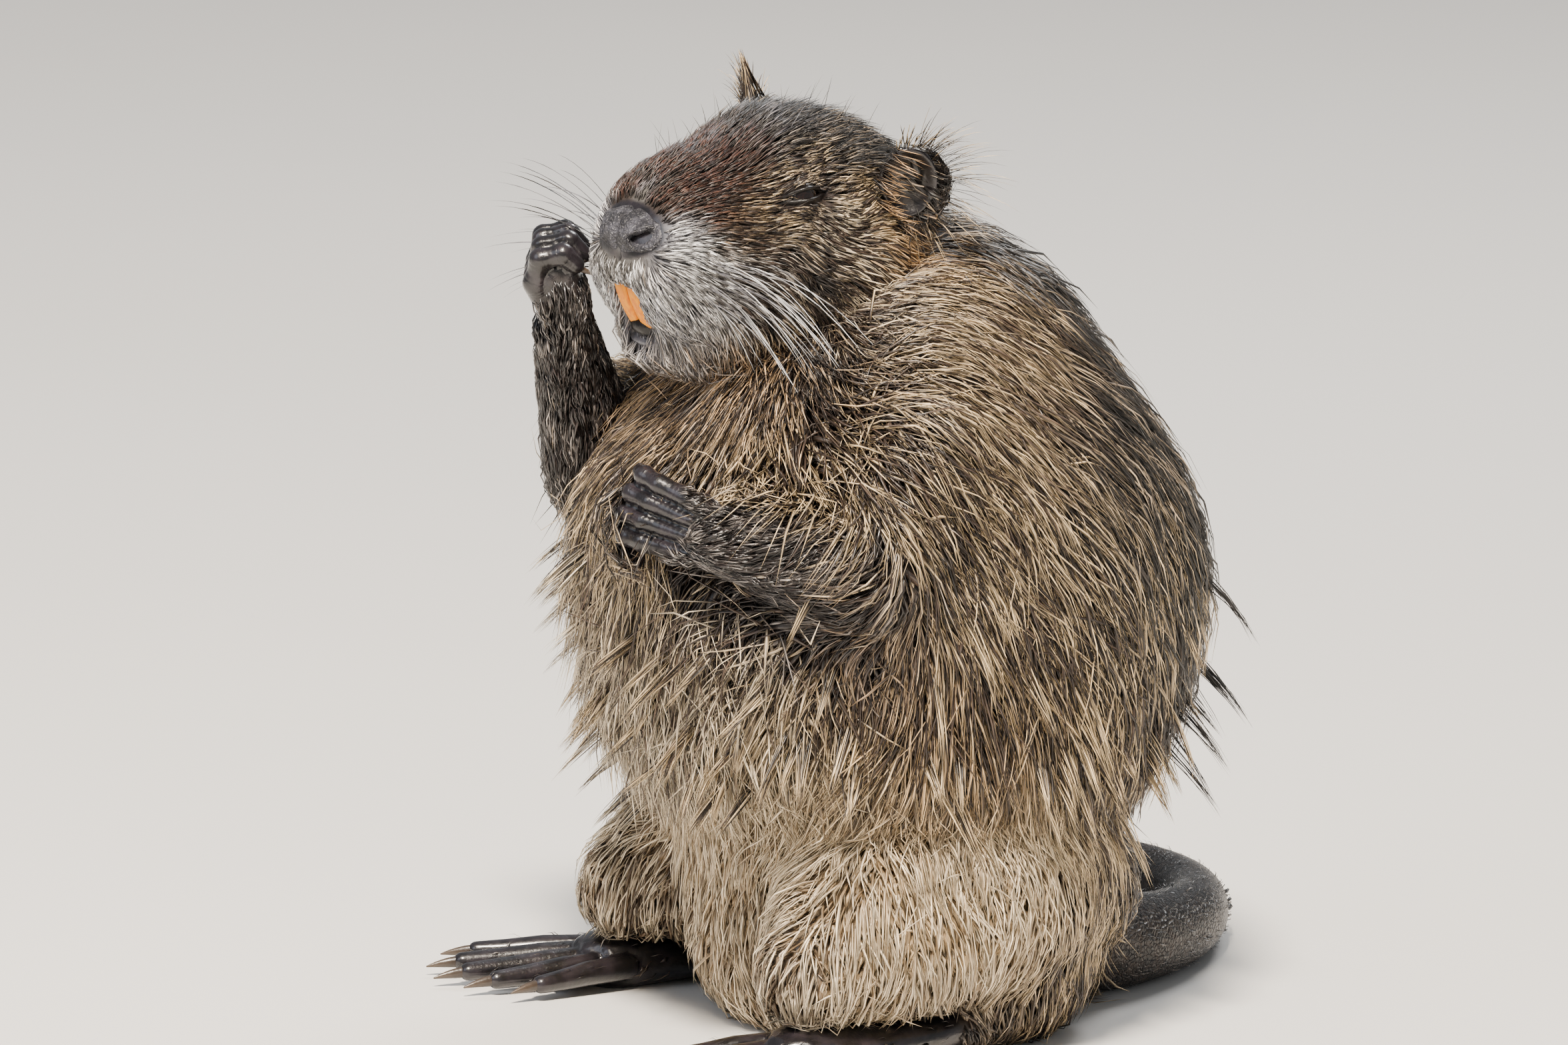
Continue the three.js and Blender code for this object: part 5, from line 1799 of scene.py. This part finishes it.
parts = []
for _, side, locks, *ranges, number, scatter, length, outward, low, high, base, tip, pale in LOCKS:
    form = (ranges[:2], ranges[2:], number, scatter, length, outward, (low, high))
    for own in (1, -1) if side == 0 else (side,):
        lines, normals = lock_lines(own, locks, *form)
        count = len(lines)
        parts.append((lines, normals, colour_rows(base, tip, count), np.full(count, pale)))
lines, normals, colours, pale = (np.concatenate(rows) for rows in zip(*parts))
local = in_head(lines[:, 0])
clear = (local[:, 1] > 60) | (np.linalg.norm(local[:, [0, 2]] + [0, 6], axis=1) > 52)
lines, normals, colours, pale = (rows[clear] for rows in (lines, normals, colours, pale))
wide = rng.uniform(0.3, 0.75, len(lines))
tuft_piece("wet_locks", lines, normals, wide, colours, pale, guard_hair)


# %% [markdown]
# ## Nose, teeth, eyes and claws
#
# These stay separate from the skin, as they are other stuff. The nose pad is a ball whose surface
# is pressed in at two slanting nostrils and along the groove between them. The teeth and claws
# are lofts along a curve. Each takes the place of its solid part.

# %% Small parts of the head
def ball(rings, sides):
    """A unit ball as rings from pole to pole along its second axis."""
    tilt = np.linspace(0.02, np.pi - 0.02, rings)[:, None]
    turn = np.arange(sides) * 2 * np.pi / sides
    x = np.sin(tilt) * np.cos(turn)
    z = np.sin(tilt) * np.sin(turn)
    return np.stack([x, -np.cos(tilt) + 0 * x, z], -1)


def nose_pad():
    """The ball pushed in at each nostril by a bell along a slanted slot, with a raised rim round
    it, and pressed into a groove along the middle."""
    directions = ball(72, 104)
    x, y, z = directions[..., 0], directions[..., 1], directions[..., 2]
    wide, deep, high = NOSE["half"]
    aside, up = x * wide, z * high
    shape = np.ones_like(x)
    hollow = np.zeros_like(x)
    for side in (-1, 1):
        s, u = (aside - side * 9.6), (up - 0.6)
        slant = np.radians(30 * side)
        along = s * np.cos(slant) + u * np.sin(slant)
        cross = u * np.cos(slant) - s * np.sin(slant) - 0.07 * along**2
        pit = np.exp(-((along / 3.1) ** 4) - ((cross / 1.5) ** 2) ** 1.4) * (y < 0.4)
        wing = np.exp(-(((np.hypot(along / 1.25, cross)) - 3.4) ** 2) / 1.2) * (y < 0.4)
        shape += 0.09 * wing - 0.46 * pit
        # How far a point lies in a nostril, which the nose's finish paints near black as shade.
        hollow = np.maximum(hollow, smooth(pit, 0.25, 0.7))
    shape -= 0.10 * np.exp(-((aside / 1.1) ** 2)) * (y < 0.3)
    shape -= 0.05 * smooth(-z, 0.2, 1.0)
    local = directions * shape[..., None] * np.array([wide, deep, high])
    centre = on_head([0, NOSE["back"], NOSE["up"]])
    points, faces = closed(centre + local @ HEAD_AXES)
    return points, faces, np.r_[hollow.ravel(), 0, 0]


points, faces, hollow = nose_pad()
nose = new_piece("nose_pad", points, faces, [nose_material])
# The nostril share is kept for the finish, which paints shade in the nostrils with it.
store(nose, "hollow", hollow)
settle(nose, "nose_skin", "nose")


def tooth_shape(side):
    """A bar of rounded section along an arc that leans back, ending in a bevelled edge."""
    t = np.linspace(0, 1, 33)
    lean = np.radians(INCISOR["lean"] + INCISOR["curve"] * (t - 0.5))
    behind = INCISOR["back"] + INCISOR["length"] * t * np.sin(lean)
    up = INCISOR["up"] - INCISOR["length"] * t * np.cos(lean)
    aside = np.full_like(t, side * (INCISOR["width"] / 2 + 0.2))
    wide = INCISOR["width"] / 2 * (1 - 0.06 * smooth(t, 0.75, 1.0))
    thick = INCISOR["thick"] / 2 * (1 - 0.6 * smooth(t, 0.86, 1.0))
    over = HEAD_BACK * np.cos(lean)[:, None] + HEAD_UP * np.sin(lean)[:, None]
    centres = on_head(np.stack([aside, behind, up], 1))
    points, faces = closed(rings_of(centres, HEAD_LEFT, over, wide, thick, 2.8, 40))
    return points, faces, np.r_[np.repeat(t, 40), 0, 1]


def eyeball(side):
    centre = eye_frame(side)[0]
    return closed(centre + ball(40, 64) * EYE["radius"] @ HEAD_AXES)


for name, side in SIDES.items():
    points, faces, along = tooth_shape(side)
    tooth = new_piece("front_tooth_" + name, points, faces, [tooth_material])
    store(tooth, "along", along)
    settle(tooth, "tooth_enamel", "incisor_" + name)
    eye = new_piece("eyeball_" + name, *eyeball(side), [eye_material])
    settle(eye, "eye", "eye_" + name)
print("nose, two teeth and two eyes")


# %% Claws
def claw_shape(line, limb, claw):
    """A tapered loft that leaves the last stretch of a digit and droops with the distance squared,
    deeper than it is wide."""
    t = np.linspace(-0.25, 1, 26)
    ahead = unit(line[-1] - line[-2])
    centres = line[-1] + np.outer(t, ahead) * claw["length"]
    centres = centres - np.outer(t * np.abs(t), limb.dorsal) * claw["droop"] * claw["length"]
    share = 1 - np.clip(t, 0, 1) ** 1.7
    along = unit(np.gradient(centres, axis=0))
    side = unit(np.cross(along, limb.dorsal))
    up = np.cross(side, along)
    radius = claw["radius"] * (0.12 + 0.88 * share)
    points, faces = closed(rings_of(centres, side, up, radius * 0.86, radius * 1.05, 2.0, 20))
    return points, faces, np.r_[np.repeat(np.clip(t, 0, 1), 20), 0, 1]


for name in SIDES:
    sets = [("hand", finger_lines(name), HAND_FRAMES[name], HAND_CLAW, 2)]
    sets.append(("foot", toe_lines(name), FOOT_FRAMES[name], FOOT_CLAW, 1))
    for part, lines, limb, claw, first in sets:
        for number, line in enumerate(lines, first):
            points, faces, along = claw_shape(line, limb, claw)
            piece = new_piece(f"claw_{part}_{name}_{number}", points, faces, [claw_material])
            store(piece, "along", along)
            settle(piece, "claw", f"{part}_claw_{name}_{number}")

# %% [markdown]
# ## Floor and light
#
# A pale floor that runs out of sight and a soft lamp high above the lens, a little to its left,
# show the form plainly. A second, weaker lamp opens the shadows, and a third from behind draws a
# thin line of light along the tips of the coat.

# %% Floor, lamps and world
FLOOR_RADII = [0.5, 2.0, 12.0]  # metres
FLOOR_SIDES = 96
LAMP_AIM = np.array([0, 0, 0.16])


def floor_piece():
    i = np.arange(FLOOR_SIDES)
    j = (i + 1) % FLOOR_SIDES
    turn = i * 2 * np.pi / FLOOR_SIDES
    radius = np.array(FLOOR_RADII)[:, None] / MM
    sheet = np.stack([radius * np.cos(turn), radius * np.sin(turn), 0 * radius * turn], -1)
    points = np.concatenate([sheet.reshape(-1, 3), [[0, 0, 0]]])
    faces = [np.stack([np.full(FLOOR_SIDES, len(points) - 1), i, j], -1)]
    for row in (0, FLOOR_SIDES):
        near, far = row + i, row + FLOOR_SIDES + i
        near_next, far_next = row + j, row + FLOOR_SIDES + j
        faces += [np.stack([near, far, far_next], -1), np.stack([near, far_next, near_next], -1)]
    material, tree, shader = finish("matt_paper", Roughness=0.9, IOR=1.45)
    paper = mix(tree, noise(tree, 400), rgba("#dcdad6"), rgba("#e2e0dc"))
    tree.links.new(paper, shader.inputs["Base Color"])
    return new_piece("floor", points, np.concatenate(faces), [material])


def lamp(name, azimuth, elevation, distance, size, watts, colour):
    """An area lamp that faces the animal from an azimuth and elevation."""
    data = bpy.data.lights.new(name, "AREA")
    data.shape = "DISK"
    data.size = size
    data.energy = watts
    data.color = linear(colour)
    across, over, behind = camera_axes(*np.radians([azimuth, elevation]))
    piece = bpy.data.objects.new(name, data)
    bpy.context.scene.collection.objects.link(piece)
    piece.matrix_world = standing(across, over, behind, LAMP_AIM + distance * behind)


floor = floor_piece()
lamp("key", 50, 56, 2.2, 0.4, 172, "#fff1df")
lamp("fill", 5, 30, 2.6, 1.6, 16, "#e6efff")
lamp("rim", 215, 45, 2.4, 0.8, 34, "#ffffff")
world = bpy.data.worlds.new("pale room")
world.use_nodes = True
world.node_tree.nodes["Background"].inputs[0].default_value = rgba("#dfe3e8")
world.node_tree.nodes["Background"].inputs[1].default_value = 0.42
bpy.context.scene.world = world
